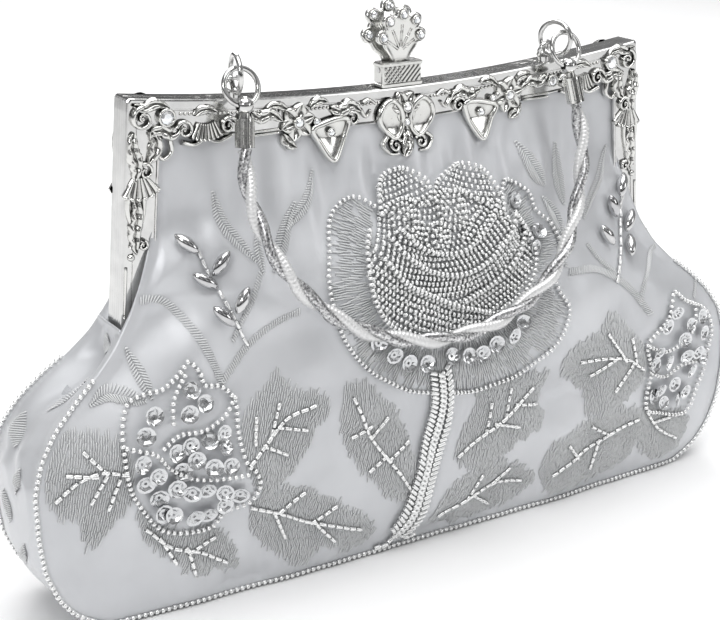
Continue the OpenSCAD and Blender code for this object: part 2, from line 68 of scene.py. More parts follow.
# brightness of the studio by height, 0 straight down and 1 straight up
STUDIO_LEVELS = [(0.44, 0.6), (0.49, 0.22), (0.57, 0.16), (0.63, 0.75), (0.70, 0.95), (0.76, 0.25),
                 (0.82, 0.9)]
STUDIO_LOWEST, STUDIO_HIGHEST = 0.75, 1.25
STUDIO_STRENGTH = 0.62


def into_scene(name, data):
    obj = bpy.data.objects.new(name, data)
    bpy.context.scene.collection.objects.link(obj)
    return obj


def make_camera():
    across = math.cos(CAMERA_ELEVATION)
    back = Vector((math.sin(CAMERA_AZIMUTH) * across, -math.cos(CAMERA_AZIMUTH) * across,
                   math.sin(CAMERA_ELEVATION)))
    data = bpy.data.cameras.new("camera")
    data.sensor_width, data.lens = SENSOR_MM, LENS_MM
    data.clip_start, data.clip_end = 0.02, 20.0
    cam = into_scene("camera", data)
    cam.location = (CAMERA_TARGET + back * CAMERA_DISTANCE) * MM
    cam.rotation_mode = "QUATERNION"
    cam.rotation_quaternion = (-back).to_track_quat("-Z", "Y") @ Quaternion(Vector((0, 0, 1)), CAMERA_ROLL)
    bpy.context.scene.camera = cam


def area_light(name, place, aim, size, power):
    data = bpy.data.lights.new(name, "AREA")
    data.energy, data.size = power, size
    lamp = into_scene(name, data)
    lamp.location = place
    lamp.rotation_mode = "QUATERNION"
    lamp.rotation_quaternion = (Vector(aim) - Vector(place)).to_track_quat("-Z", "Y")


def add_node(tree, kind, settings=None):
    """New shader node, with the values of its inputs by name."""
    node = tree.nodes.new("ShaderNode" + kind)
    for name, value in (settings or {}).items():
        node.inputs[name].default_value = value
    return node


def make_world():
    """Pale studio with darker flags, so that polished metal has something to reflect."""
    world = bpy.data.worlds.new("studio")
    bpy.context.scene.world = world
    world.use_nodes = True
    tree = world.node_tree
    link = tree.links.new
    coords = add_node(tree, "TexCoord")
    split = add_node(tree, "SeparateXYZ")
    link(coords.outputs["Generated"], split.inputs["Vector"])
    height = add_node(tree, "ValToRGB")
    stops = height.color_ramp.elements
    stops[0].position, stops[0].color = 0.0, (*[STUDIO_LOWEST] * 3, 1)
    stops[1].position, stops[1].color = 1.0, (*[STUDIO_HIGHEST] * 3, 1)
    for place, level in STUDIO_LEVELS:
        stops.new(place).color = (level, level, level * 1.01, 1)
    ramp_in = add_node(tree, "MapRange", {"From Min": -1.0})
    link(split.outputs["Z"], ramp_in.inputs["Value"])
    link(ramp_in.outputs["Result"], height.inputs["Fac"])
    around = add_node(tree, "TexWave", {"Scale": 0.55, "Distortion": 2.0, "Detail": 0.0, "Phase Offset": 1.1})
    around.bands_direction = "X"
    link(coords.outputs["Generated"], around.inputs["Vector"])
    spread = add_node(tree, "MapRange", {"To Min": 0.35, "To Max": 1.15})
    link(around.outputs["Fac"], spread.inputs["Value"])
    mix = add_node(tree, "VectorMath")
    mix.operation = "SCALE"
    link(height.outputs["Color"], mix.inputs[0])
    link(spread.outputs["Result"], mix.inputs["Scale"])
    link(mix.outputs["Vector"], tree.nodes["Background"].inputs["Color"])
    tree.nodes["Background"].inputs["Strength"].default_value = STUDIO_STRENGTH


# ---------------------------------------------------------------- materials

NOISE_TONES = (0.35, 0.65)      # the noise values where the dark tone ends and the light one begins
WAVE_TURNS = 0.314              # a wave texture of scale WAVE_TURNS / pitch repeats once in each pitch


def weave(tree, coords, pitch):
    """Height of a plain weave with that thread pitch in metres."""
    product = add_node(tree, "Math")
    product.operation = "MULTIPLY"
    for i, axis in enumerate("XZ"):
        wave = add_node(tree, "TexWave", {"Scale": WAVE_TURNS / pitch, "Distortion": 1.2, "Detail": 1.0})
        wave.bands_direction = axis
        tree.links.new(coords, wave.inputs["Vector"])
        tree.links.new(wave.outputs["Fac"], product.inputs[i])
    return product.outputs["Value"]


def make_material(name, dark, light, scale, rough, settings, detail=2.0, painted_shade=None, bump=None, pitch=None):
    """Procedural material, with sizes in metres.

    Its colour goes from dark to light with a noise of that scale, or, given the (reach, low, high) of a
    painted
    shade, it is painted shade: dark where the surface is hidden within that reach, light where it lies open.
    rough is one value, or two that the noise moves between. bump is a strength and a distance, from the
    noise, or from a weave of that thread pitch.
    """
    material = bpy.data.materials.new(name)
    material.use_nodes = True
    tree = material.node_tree
    link = tree.links.new
    shader = tree.nodes["Principled BSDF"]
    for key, value in settings.items():
        shader.inputs[key].default_value = value
    coords = add_node(tree, "TexCoord").outputs["Object"]
    noise_node = add_node(tree, "TexNoise", {"Scale": scale, "Detail": detail})
    link(coords, noise_node.inputs["Vector"])
    noise = noise_node.outputs["Fac"]
    tone, (low, high) = noise, NOISE_TONES
    # painted shade: ambient occlusion turns the colour dark where the surface is hidden within the reach
    if painted_shade:
        reach, low, high = painted_shade
        hidden = add_node(tree, "AmbientOcclusion", {"Distance": reach})
        hidden.samples = 6
        tone = hidden.outputs["AO"]
    ramp = add_node(tree, "ValToRGB")
    ends = ramp.color_ramp.elements
    ends[0].position, ends[1].position = low, high
    ends[0].color, ends[1].color = (*dark, 1), (*light, 1)
    link(tone, ramp.inputs["Fac"])
    link(ramp.outputs["Color"], shader.inputs["Base Color"])
    if isinstance(rough, tuple):
        spread = add_node(tree, "MapRange", {"To Min": rough[0], "To Max": rough[1]})
        link(noise, spread.inputs["Value"])
        link(spread.outputs["Result"], shader.inputs["Roughness"])
    else:
        shader.inputs["Roughness"].default_value = rough
    if bump:
        relief = add_node(tree, "Bump", {"Strength": bump[0], "Distance": bump[1]})
        link(weave(tree, coords, pitch) if pitch else noise, relief.inputs["Height"])
        link(relief.outputs["Normal"], shader.inputs["Normal"])
    return material


def thread_material(name, dark, light, reach=0.0007, metal=0.0):
    """Thread or braid: light where it stands proud, with painted shade darkening the colour between the
    strands.
    """
    return make_material(name, dark, light, 900.0, (0.28, 0.48),
                         {"Sheen Weight": 0.25, "Anisotropic": 0.4, "Metallic": metal},
                         painted_shade=(reach, 0.25, 0.9), bump=(0.3, 0.00005))


def metal_material(name, dark, light, rough, scale=180.0, bump=None):
    """Plain metal with a slow drift of tone and polish."""
    return make_material(name, dark, light, scale, rough, {"Metallic": 1.0}, detail=5.0, bump=bump)


MAT = {
    "satin": make_material(
        "satin", (0.56, 0.57, 0.59), (0.64, 0.65, 0.67), 26.0, (0.33, 0.46),
        {"Specular IOR Level": 0.8, "Metallic": 0.30, "Sheen Weight": 0.35, "Sheen Roughness": 0.35,
         "Anisotropic": 0.35}, detail=4.0, bump=(0.22, 0.00006), pitch=0.00028),
    "lining": make_material(
        "lining", (0.36, 0.37, 0.39), (0.46, 0.47, 0.49), 40.0, (0.6, 0.8), {}, detail=4.0,
        bump=(0.5, 0.0001), pitch=0.0005),
    "board": make_material("board", (0.34, 0.28, 0.2), (0.5, 0.42, 0.31), 300.0, 0.85, {}, detail=4.0),
    # threads: the dark tone is painted shade between the strands
    "thread": thread_material("thread", (0.10, 0.105, 0.11), (0.60, 0.61, 0.615)),
    "pale_thread": thread_material("pale_thread", (0.13, 0.135, 0.14), (0.68, 0.69, 0.695)),
    # glass beads: the dark tone is painted shade where beads hide one another
    "glass_beads": make_material(
        "glass_beads", (0.30, 0.31, 0.31), (0.90, 0.905, 0.90), 700.0, (0.12, 0.3),
        {"Metallic": 0.55, "IOR": 1.52, "Coat Weight": 1.0, "Coat Roughness": 0.03},
        painted_shade=(0.0012, 0.2, 0.75)),
    # sequins: the dark tone is painted shade where sequins overlap and under their rims
    "sequins": make_material(
        "sequins", (0.14, 0.14, 0.15), (0.66, 0.67, 0.68), 260.0, (0.12, 0.24),
        {"Metallic": 0.85, "Coat Weight": 0.6, "Coat Roughness": 0.05}, painted_shade=(0.0015, 0.3, 0.95)),
    "metal_beads": metal_material("metal_beads", (0.5, 0.5, 0.51), (0.66, 0.66, 0.66), (0.06, 0.14)),
    "polished_metal": metal_material("polished_metal", (0.58, 0.58, 0.575), (0.68, 0.68, 0.67), (0.08, 0.16)),
    # cast metal: the near-black tone is painted shade in the hollows of the casting
    "cast_metal": make_material(
        "cast_metal", (0.10, 0.10, 0.095), (0.70, 0.70, 0.68), 420.0, (0.10, 0.24), {"Metallic": 1.0},
        painted_shade=(0.0022, 0.25, 0.85), bump=(0.35, 0.00015)),
    "rhinestone": make_material(
        "rhinestone", (0.80, 0.83, 0.86), (1.0, 1.0, 1.0), 500.0, 0.03,
        {"Metallic": 0.75, "IOR": 1.9, "Coat Weight": 1.0, "Coat Roughness": 0.01}, detail=1.0),
    "spring_steel": metal_material(
        "spring_steel", (0.35, 0.35, 0.36), (0.5, 0.5, 0.51), (0.3, 0.5), bump=(0.2, 0.0001)),
    # rope strand: the dark tone is painted shade between its ribs and where the strands meet
    "rope_band": thread_material("rope_band", (0.10, 0.10, 0.10), (0.78, 0.78, 0.78), 0.0012, 0.5),
    "rope_glitter": metal_material(
        "rope_glitter", (0.16, 0.16, 0.17), (0.85, 0.85, 0.85), (0.15, 0.5), 1400.0, (1.0, 0.0001)),
    "floor": make_material(
        "floor", (0.88, 0.88, 0.885), (0.91, 0.91, 0.91), 3.0, 0.9, {"Specular IOR Level": 0.1}, detail=4.0),
}

# ---------------------------------------------------------------- mesh helpers, all in millimetres


class Heap:
    """Collects vertices and faces of one piece."""

    def __init__(self):
        self.verts, self.faces, self.n = [], [], 0

    def add(self, verts, faces):
        verts = np.asarray(verts, float).reshape(-1, 3)
        self.verts.append(verts)
        for f in faces if isinstance(faces, tuple) else (faces,):
            self.faces.extend((np.asarray(f, int) + self.n).tolist())
        self.n += len(verts)

    def build(self, name, material, slot=None, smooth=True):
        """The piece in metres; slot is not used."""
        data = bpy.data.meshes.new(name)
        data.from_pydata((np.concatenate(self.verts) * MM).tolist(), [], self.faces)
        data.validate(verbose=False)
        data.polygons.foreach_set("use_smooth", [smooth] * len(data.polygons))
        data.materials.append(MAT[material])
        data.update()
        o = into_scene(name, data)
        return o


def grid_faces(rows, cols, wrap=False):
    """Quads of a grid of rows by cols points; wrap joins the last column to the first."""
    r, c = np.meshgrid(np.arange(rows - 1), np.arange(cols if wrap else cols - 1), indexing="ij")
    a = r * cols + c
    b = r * cols + (c + 1) % cols
    return np.stack([a, b, b + cols, a + cols], -1).reshape(-1, 4)


def frames_along(path):
    """Unit tangents, sides and ups along a path of points, with little twist."""
    path = np.asarray(path, float)
    t = np.gradient(path, axis=0)
    t /= np.linalg.norm(t, axis=1)[:, None] + 1e-12
    side = np.zeros_like(t)
    start = np.array([0.0, 1.0, 0.0]) if abs(t[0][1]) < 0.9 else np.array([1.0, 0.0, 0.0])
    s = start - t[0] * (start @ t[0])
    for i, d in enumerate(t):
        s = s - d * (s @ d)
        s /= np.linalg.norm(s) + 1e-12
        side[i] = s
    return t, side, np.cross(t, side)


def tube(heap, path, radii, sides, flat=1.0):
    """Closed round tube of one or several radii along a path; flat squeezes it along its first side."""
    path = np.asarray(path, float)
    radii = np.broadcast_to(np.asarray(radii, float), (len(path),))
    _, s, u = frames_along(path)
    a = np.arange(sides) * 2 * np.pi / sides
    ring = np.cos(a)[None, :, None] * s[:, None] * flat + np.sin(a)[None, :, None] * u[:, None]
    pts = path[:, None] + ring * radii[:, None, None]
    n = len(path) * sides
    k = np.arange(sides)
    first = np.stack([(k + 1) % sides, k, np.full(sides, n)], -1)
    end = np.stack([n - sides + k, n - sides + (k + 1) % sides, np.full(sides, n + 1)], -1)
    heap.add(np.concatenate([pts.reshape(-1, 3), path[:1], path[-1:]]),
             (grid_faces(len(path), sides, wrap=True), first, end))


def revolve(profile, sides):
    """Vertices and faces of a profile of (height, radius) points turned about Z, open at its ends."""
    profile = np.asarray(profile, float)
    a = np.arange(sides) * 2 * np.pi / sides
    pts = np.stack([profile[:, 1, None] * np.cos(a), profile[:, 1, None] * np.sin(a),
                    np.repeat(profile[:, 0, None], sides, 1)], -1)
    return pts.reshape(-1, 3), grid_faces(len(profile), sides, wrap=True)


def stamp(heap, shape, places, frames, scale=1.0):
    """Copies of a shape: places Kx3, frames Kx3x3 with the shape's axes as rows, scale a number, K or Kx3."""
    verts, faces = shape
    k = len(places)
    if k == 0:
        return
    scale = np.asarray(scale, float)
    scale = np.broadcast_to(scale.reshape(-1, 1) if scale.ndim == 1 else scale, (k, 3))
    local = verts[None] * scale[:, None]
    out = np.einsum("kni,kij->knj", local, frames) + np.asarray(places)[:, None]
    n = len(verts)
    all_faces = (faces[None] + (np.arange(k) * n)[:, None, None]).reshape(-1, faces.shape[1])
    heap.faces.extend((all_faces + heap.n).tolist())
    heap.verts.append(out.reshape(-1, 3))
    heap.n += k * n


def unit(v):
    v = np.asarray(v, float)
    return v / (np.linalg.norm(v, axis=-1, keepdims=True) + 1e-12)


def spaced(path, step):
    """Points a step apart along a polyline, and the direction at each."""
    path = np.asarray(path, float)
    d = np.concatenate([[0], np.cumsum(np.linalg.norm(np.diff(path, axis=0), axis=1))])
    n = max(2, int(round(d[-1] / step)) + 1)
    s = np.linspace(0, d[-1], n)
    pts = np.stack([np.interp(s, d, path[:, i]) for i in range(path.shape[1])], -1)
    return pts, unit(np.gradient(pts, axis=0))


def curve(points, step, closed=False):
    """Smooth curve through control points of any dimension, as points about a step apart."""
    p = np.asarray(points, float)
    if closed:
        p = np.concatenate([p[-1:], p, p[:2]])
    else:
        p = np.concatenate([[2 * p[0] - p[1]], p, [2 * p[-1] - p[-2]]])
    out = []
    for i in range(1, len(p) - 2):
        n = max(2, int(np.linalg.norm(p[i + 1] - p[i]) / step) + 1)
        t = np.linspace(0, 1, n, endpoint=False)[:, None]
        out.append(0.5 * (2 * p[i] + (p[i + 1] - p[i - 1]) * t
                          + (2 * p[i - 1] - 5 * p[i] + 4 * p[i + 1] - p[i + 2]) * t ** 2
                          + (3 * p[i] - p[i - 1] - 3 * p[i + 1] + p[i + 2]) * t ** 3))
    out.append(p[-2:-1])
    return np.concatenate(out)


def inside(poly, pts):
    """Which points of the plane are inside a polygon."""
    x, y = pts[:, 0], pts[:, 1]
    res = np.zeros(len(pts), bool)
    for (x0, y0), (x1, y1) in zip(poly, np.roll(poly, -1, axis=0)):
        res ^= ((y0 > y) != (y1 > y)) & (x < (x1 - x0) * (y - y0) / (y1 - y0 + 1e-12) + x0)
    return res


def in_plane(directions):
    """Directions in space of (x, z) directions of the front view."""
    return np.stack([directions[:, 0], np.zeros(len(directions)), directions[:, 1]], -1)


def turned_lengthwise(frames):
    """Frames for a shape whose own Z lies along the first axis, as a bead's hole does along its string."""
    return np.stack([frames[:, 1], frames[:, 2], frames[:, 0]], 1)


# ---------------------------------------------------------------- shape of the satin

FRAME_W, CORNER_Z, RAIL_DIP, HINGE_Z, ARM_FLARE, BAND_W = 194.0, 162.0, 6.4, 86.0, 6.0, 11.0
FRONT_Y = 4.7           # from the middle of the bag to the face of the metal frame
CLASP_X = -1.5
ROW_BREAK, ROW_TOP = 98.0, 150.0    # rows are heights up to the first, then follow the dipped rail
CLOTH_BELOW_RAIL = 4.0
PANEL_CURVE = 2.6       # the higher, the flatter the belly and the rounder the panel's shoulders


def smooth_table(points, blur):
    """Function of height from a list of points, rounded over about that many millimetres."""
    z = np.arange(-20.0, 210.0, 0.5)
    p = np.array(points, float)
    v = np.interp(z, p[:, 0], p[:, 1])
    n = int(6 * blur)
    k = np.exp(-0.5 * (np.arange(-n, n + 1) * 0.5 / blur) ** 2)
    v = np.convolve(np.pad(v, n, mode="edge"), k / k.sum(), mode="valid")
    return lambda q: np.interp(q, z, v)


SIDE = smooth_table([[0, 113], [1, 116], [4, 122], [8, 127.5], [14, 132], [24, 136], [36, 137.5], [50, 137.5],
    [60, 134.5], [68, 129], [75, 121.5], [81, 114], [88, 107], [96, 101.5], [104, 97], [112, 93.5], [120, 90],
    [130, 89.5], [200, 89.5]], 1.2)
EDGE = smooth_table([[0, 17], [8, 17.5], [20, 18], [40, 18], [60, 16.5], [72, 14], [80, 11.8], [88, 9.6],
    [96, 8.2], [104, 7.2], [111, 6.2], [117, 4.4], [121, 3.4], [200, 3.2]], 1.5)
BELLY = smooth_table([[0, 19.5], [10, 23.5], [30, 27], [54, 28], [77, 26.8], [98, 23], [112, 17.5],
    [122, 12.6], [131, 8.0], [138, 5.2], [143, 3.9], [150, 3.3], [200, 3.2]], 2.0)
BULGE = smooth_table([[86, 300], [100, 97], [112, 90], [120, 87.5], [150, 85.5], [200, 85.5]], 1.0)


def rail_z(x):
    return CORNER_Z - RAIL_DIP * (1 - (2 * x / FRAME_W) ** 2)


def row_of(x, z):
    span = rail_z(x) - CLOTH_BELOW_RAIL - ROW_BREAK
    return np.where(z <= ROW_BREAK, z, ROW_BREAK + (z - ROW_BREAK) / span * (ROW_TOP - ROW_BREAK))


def z_of(row, x):
    span = rail_z(x) - CLOTH_BELOW_RAIL - ROW_BREAK
    return np.where(row <= ROW_BREAK, row, ROW_BREAK + (row - ROW_BREAK) / (ROW_TOP - ROW_BREAK) * span)


def make_waves(seed, count=16, short=16, long=60, steepness=0.012):
    """Random waves as rows of x and z frequency, phase and height, between a short and a long wavelength."""
    rng = np.random.default_rng(seed)
    angle = rng.uniform(0, np.pi, count)
    length = np.exp(rng.uniform(np.log(short), np.log(long), count))
    return np.stack([np.cos(angle) * 2 * np.pi / length, np.sin(angle) * 2 * np.pi / length,
                     rng.uniform(0, 6.28, count), steepness * length], -1)


WAVES = {1: make_waves(3), -1: make_waves(8)}


def folds(x, z, face):
    """Soft creases of the satin: broad waves, and gathers that fan out below the frame."""
    w = sum(a * np.sin(kx * x + kz * z + p) for kx, kz, p, a in WAVES[face]) * 0.75
    row = row_of(x, z)
    near = np.clip((row - 96) / 30, 0, 1) * np.clip((147 - row) / 9, 0, 1)
    gather = near * (0.95 * np.sin(0.27 * x + 0.05 * z + face) + 0.45 * np.sin(0.61 * x - 0.06 * z + 2.0))
    low = np.clip((26 - row) / 18, 0, 1) * np.clip(row / 5, 0, 1)
    pucker = low * 0.22 * np.sin(0.62 * x + 0.11 * z)
    sides = np.clip(np.abs(x) / SIDE(row), 0, 1)
    shoulder = np.clip((sides - 0.62) / 0.3, 0, 1) * np.clip(1 - np.abs(row - 92) / 34, 0, 1)
    drag = shoulder * 1.5 * np.sin(0.22 * (np.abs(x) * 0.8 + z * 0.9) + 1.3 * face)
    calm = np.clip((1.0 - sides) / 0.05, 0, 1) * np.clip(row / 5, 0, 1) * np.clip((150 - row) / 5, 0, 1)
    return (w * (1 - 0.85 * np.clip((row - 134) / 10, 0, 1)) + gather + pucker + drag) * calm


def smooth_depth(x, z):
    """Half depth of the pouch over a point of the front view, before any crease."""
    row = row_of(x, z)
    reach = np.minimum(SIDE(row), BULGE(row))
    u = np.clip(np.abs(x) / reach, 0, 1)
    return EDGE(row) + (BELLY(row) - EDGE(row)) * (1 - u ** PANEL_CURVE)


def depth(x, z, face):
    """Half depth with the creases of that face, which die out where the bag is thin."""
    base = smooth_depth(x, z)
    return base + folds(x, z, face) * np.clip((base - 3.2) / 5.0, 0, 1)


def on_satin(points, off, face):
    """Places of (x, z) points raised by off over the satin of a face, and the normals; face is 1 or -1."""
    x, z = points[:, 0], points[:, 1]
    e = 0.4
    dx = (depth(x + e, z, face) - depth(x - e, z, face)) / (2 * e)
    dz = (depth(x, z + e, face) - depth(x, z - e, face)) / (2 * e)
    n = unit(np.stack([-dx, -np.ones_like(dx), -dz], -1))
    p = np.stack([x, -depth(x, z, face), z], -1) + n * np.broadcast_to(off, x.shape)[:, None]
    return p * [1, face, 1], n * [1, face, 1]


def closed_sheet(outer, thickness, hint):
    """Closed cloth of that thickness behind a grid of points on its outer side; hint points outwards."""
    m, k = outer.shape[:2]
    # the faces of a grid wind so that they look along this cross product
    n = unit(np.cross(np.gradient(outer, axis=1), np.gradient(outer, axis=0)))
    flip = np.sum(n * np.asarray(hint, float)) < 0
    n = -n if flip else n
    f = grid_faces(m, k)
    back = f[:, ::-1] + m * k
    rim = np.concatenate([np.arange(k), np.arange(2 * k - 1, m * k, k),
                          np.arange(m * k - 2, (m - 1) * k - 1, -1), np.arange((m - 2) * k, 0, -k)])
    nxt = np.roll(rim, -1)
    side = np.stack([nxt, rim, rim + m * k, nxt + m * k], -1)
    faces = (f, back, side)
    if flip:
        faces = tuple(g[:, ::-1] for g in faces)
    heap = Heap()
    heap.add(np.concatenate([outer.reshape(-1, 3), (outer - n * thickness).reshape(-1, 3)]), faces)
    return heap


def satin_panel(name, face):
    """Front or rear panel: satin with its interlining, with the edges turned in."""
    cols, rows = 270, 160
    u = np.linspace(-1, 1, cols)
    r = np.concatenate([np.linspace(0.9, 4, 4, endpoint=False), np.linspace(4, 150, rows - 4)])
    rr, uu = np.meshgrid(r, u, indexing="ij")
    x = uu * SIDE(rr)
    z = z_of(rr, x)
    y = depth(x, z, face)
    edge = EDGE(r)
    back = np.maximum(edge - FRONT_Y - 0.02, 0)
    back = np.where(r < HINGE_Z, np.minimum(back, 3.0), back)
    turned = []
    for part, inward in ((0.45, 0.7), (0.8, 2.2), (1.0, 4.5)):
        turned.append((SIDE(r) - inward * np.clip(back / 3, 0.05, 1), edge - back * part))
    edge_x, edge_y = (np.stack(v, 1) for v in zip(*turned))
    xs = np.concatenate([-edge_x[:, ::-1], x, edge_x], 1)
    ys = np.concatenate([edge_y[:, ::-1], y, edge_y], 1)
    zs = np.concatenate([np.repeat(z[:, :1], 3, 1), z, np.repeat(z[:, -1:], 3, 1)], 1)
    outer = np.stack([xs, -ys * face, zs], -1)
    return closed_sheet(outer, 0.55, (0, -face, 0)).build(name, "satin")


def bend(obj):
    """Bakes the piece's placement into its mesh."""
    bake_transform(obj)
    return obj


def gusset_point(zz, vv, side):
    """Point of the side gusset at a height, vv going from the rear seam (-1) to the front seam (1)."""
    out = EDGE(zz) - 0.6
    low = 3.0 * np.exp(-((zz - 34) / 22) ** 2)
    tuck = 9.0 * np.exp(-((zz - 80) / 9.0) ** 2) * np.exp(-(vv / 0.45) ** 2)
    crease = (1.1 * np.sin(vv * 6.5 + zz * 0.11 + side) * np.clip((zz - 12) / 30, 0, 1)
              + 0.7 * np.sin(zz * 0.24 + vv * 3.2)
              + 0.5 * np.sin(zz * 0.47 - vv * 5.0 + 1.0) * np.clip((zz - 30) / 30, 0, 1))
    x = SIDE(zz) - 0.4 + (1 - vv ** 2) * (low + crease * 0.9) - tuck
    x = np.minimum(np.where(zz > 80, np.maximum(x, 104.4), x), 138.4)
    return np.stack([x * side, -vv * out, zz], -1)


def gusset(name, side):
    zz, vv = np.meshgrid(np.linspace(0.9, 93, 110), np.linspace(-1, 1, 44), indexing="ij")
    return closed_sheet(gusset_point(zz, vv, side), 0.5, (side, 0, 0)).build(name, "satin")


# height, place across, length, half width and lean of each leaf
GUSSET_LEAVES = [(74, 0.35, 9, 0.42, 30), (62, -0.35, 9, 0.40, -35), (50, 0.30, 10, 0.40, 25), (38, -0.3, 10,
    0.38, -30), (26, 0.32, 9, 0.36, 25), (86, -0.1, 6, 0.35, -20)]


def gusset_leaves(name, side):
    """Small leaves in slanted stitches on a gusset."""
    def at(z, v):
        return gusset_point(np.array(z), np.array(v), side)

    heap = Heap()
    for z0, v0, length, half, lean in GUSSET_LEAVES:
        for t in np.linspace(0.06, 0.94, 15):
            w = half * math.sin(math.pi * t) ** 0.8 * 0.55
            zc = z0 + (t - 0.5) * length
            vc = v0 + (t - 0.5) * math.tan(math.radians(lean)) * 0.5
            ends = [at(zc - 0.8, vc - w), at(zc + 0.8, vc + w)]
            mid = (ends[0] + ends[1]) / 2
            n = np.cross(at(zc + 1.0, vc) - at(zc - 1.0, vc), at(zc, vc + 0.02) - at(zc, vc - 0.02))
            n = unit(n) * (1 if n[0] * side > 0 else -1)
            run = ends[1] - ends[0]
            place = at(zc, vc) * 0.6 + mid * 0.4 + n * 0.35
            size = np.array([[np.linalg.norm(run), 0.27, 0.3]])
            stamp(heap, STITCH, place[None], axes_on(n[None], run[None]), size)
    return heap.build(name, "pale_thread", "thread")


# ---------------------------------------------------------------- beads, sequins and stitches

BEAD = revolve([(-0.52, 0.30), (-0.55, 0.62), (-0.40, 0.92), (0.0, 1.0), (0.40, 0.92), (0.55, 0.62),
                (0.52, 0.30)], 8)
BUGLE = revolve([(-0.50, 0.40), (-0.50, 0.85), (-0.42, 1.0), (0.42, 1.0), (0.50, 0.85), (0.50, 0.40)], 8)
OVAL = revolve([(-1.0, 0.02), (-0.96, 0.22), (-0.8, 0.55), (-0.5, 0.84), (-0.15, 0.99), (0.15, 0.99),
                (0.5, 0.84), (0.8, 0.55), (0.96, 0.22), (1.0, 0.02)], 14)
SEQUIN_RINGS = [(0.0, 0.16), (0.02, 0.45), (0.24, 0.80), (0.30, 1.0), (0.24, 1.0), (-0.05, 0.45),
                (-0.07, 0.16)]
CUP_RING = 2


def sequin_shape():
    """Cupped round sequin with a small hole and a six-sided cup."""
    sides = 12
    a = np.arange(sides) * 2 * np.pi / sides
    hexagon = np.cos(np.pi / 6) / np.cos((a + np.pi / 6) % (np.pi / 3) - np.pi / 6)
    pts = []
    for i, (h, r) in enumerate(SEQUIN_RINGS):
        k = r * (hexagon if i == CUP_RING else 1.0) * np.ones(sides)
        pts.append(np.stack([k * np.cos(a), k * np.sin(a), np.full(sides, h)], -1))
    return np.concatenate(pts), grid_faces(len(SEQUIN_RINGS), sides, wrap=True)


SEQUIN = sequin_shape()


def stitch_shape():
    """One thread lying on the cloth: X along, Z away from the cloth, its ends down in the cloth."""
    pts = []
    for x, lift, half in ((-0.5, -0.5, 0.6), (-0.36, 0.55, 0.95), (0.0, 0.85, 1.0), (0.36, 0.55, 0.95),
                          (0.5, -0.5, 0.6)):
        for y, h in ((-1, -0.5), (-0.5, 0.35), (0.5, 0.35), (1, -0.5)):
            pts.append((x, y * half, lift + h * 0.9))
    return np.array(pts), grid_faces(5, 4)[:, ::-1]


STITCH = stitch_shape()


def axes_on(normal, along):
    """Frames with Z on the normal and X near the direction along."""
    z = unit(normal)
    x = unit(along - z * np.sum(along * z, -1, keepdims=True))
    return np.stack([x, np.cross(z, x), z], 1)


def on_panel(pts):
    """Which (x, z) points are on the panel, clear of its seams."""
    return np.abs(pts[:, 0]) < SIDE(pts[:, 1]) - 0.9


def lay_beads(heap, path_xz, step, size, off, face, shape=BEAD, length=None, jitter=0.06):
    """A string of beads over the satin along a path of (x, z) points."""
    pts, _ = spaced(path_xz, step)
    p, n = on_satin(pts, off, face)
    sewn = on_panel(pts)
    t = unit(np.gradient(p, axis=0)) + RNG.normal(0, jitter, p.shape)
    fr = turned_lengthwise(axes_on(n, t))
    s = size / 2 * (1 + RNG.normal(0, 0.05, len(p)))
    sc = np.stack([s, s, s if length is None else np.full(len(p), length)], -1)
    stamp(heap, shape, p[sewn], fr[sewn], sc[sewn])


def lay_bugles(heap, path_xz, face, length, width=1.25, off=0.95, gap=0.5):
    lay_beads(heap, path_xz, length + gap, width, off, face, BUGLE, length, 0.05)


def lay_stitches(heap, centres, along, lengths, width, lift, face):
    """Threads at (x, z) centres with (x, z) directions and lengths, where both ends are on the panel."""
    a = centres - along * lengths[:, None] / 2
    b = centres + along * lengths[:, None] / 2
    sewn = on_panel(a) & on_panel(b)
    pa, _ = on_satin(a[sewn], lift, face)
    pb, _ = on_satin(b[sewn], lift, face)
    pc, n = on_satin(centres[sewn], lift, face)
    fr = axes_on(n, pb - pa)
    real = np.linalg.norm(pb - pa, axis=1)
    sc = np.stack([real, np.full(len(real), width / 2), np.full(len(real), width * 0.55)], -1)
    stamp(heap, STITCH, (pa + pb + pc * 2) / 4, fr, sc)


def fill_stitches(heap, poly, angle, face, pitch=0.72, length=3.6, width=0.46, lift=0.3):
    """Rows of long and short stitches that fill a polygon of (x, z) points."""
    poly = np.asarray(poly, float)
    d = np.array([math.cos(math.radians(angle)), math.sin(math.radians(angle))])
    q = np.array([-d[1], d[0]])
    along, across = poly @ d, poly @ q
    cs, at = [], []
    for w in np.arange(across.min() + 0.2, across.max(), pitch):
        s = along.min() - RNG.uniform(0, length)
        while s < along.max():
            lng = length * RNG.uniform(0.6, 1.25)
            c = d * (s + lng / 2) + q * (w + RNG.uniform(-0.12, 0.12))
            cs.append(c)
            at.append(lng)
            s += lng * 0.9
    cs, at = np.array(cs), np.array(at)
    third = d * at[:, None] * 0.33
    keep = inside(poly, cs) & (inside(poly, cs + third) | inside(poly, cs - third))
    cs, at = cs[keep], at[keep]
    tilt = RNG.normal(0, 0.09, len(cs))
    along_v = np.stack([d[0] * np.cos(tilt) - d[1] * np.sin(tilt),
                        d[0] * np.sin(tilt) + d[1] * np.cos(tilt)], -1)
    lay_stitches(heap, cs, along_v, at, width, lift, face)


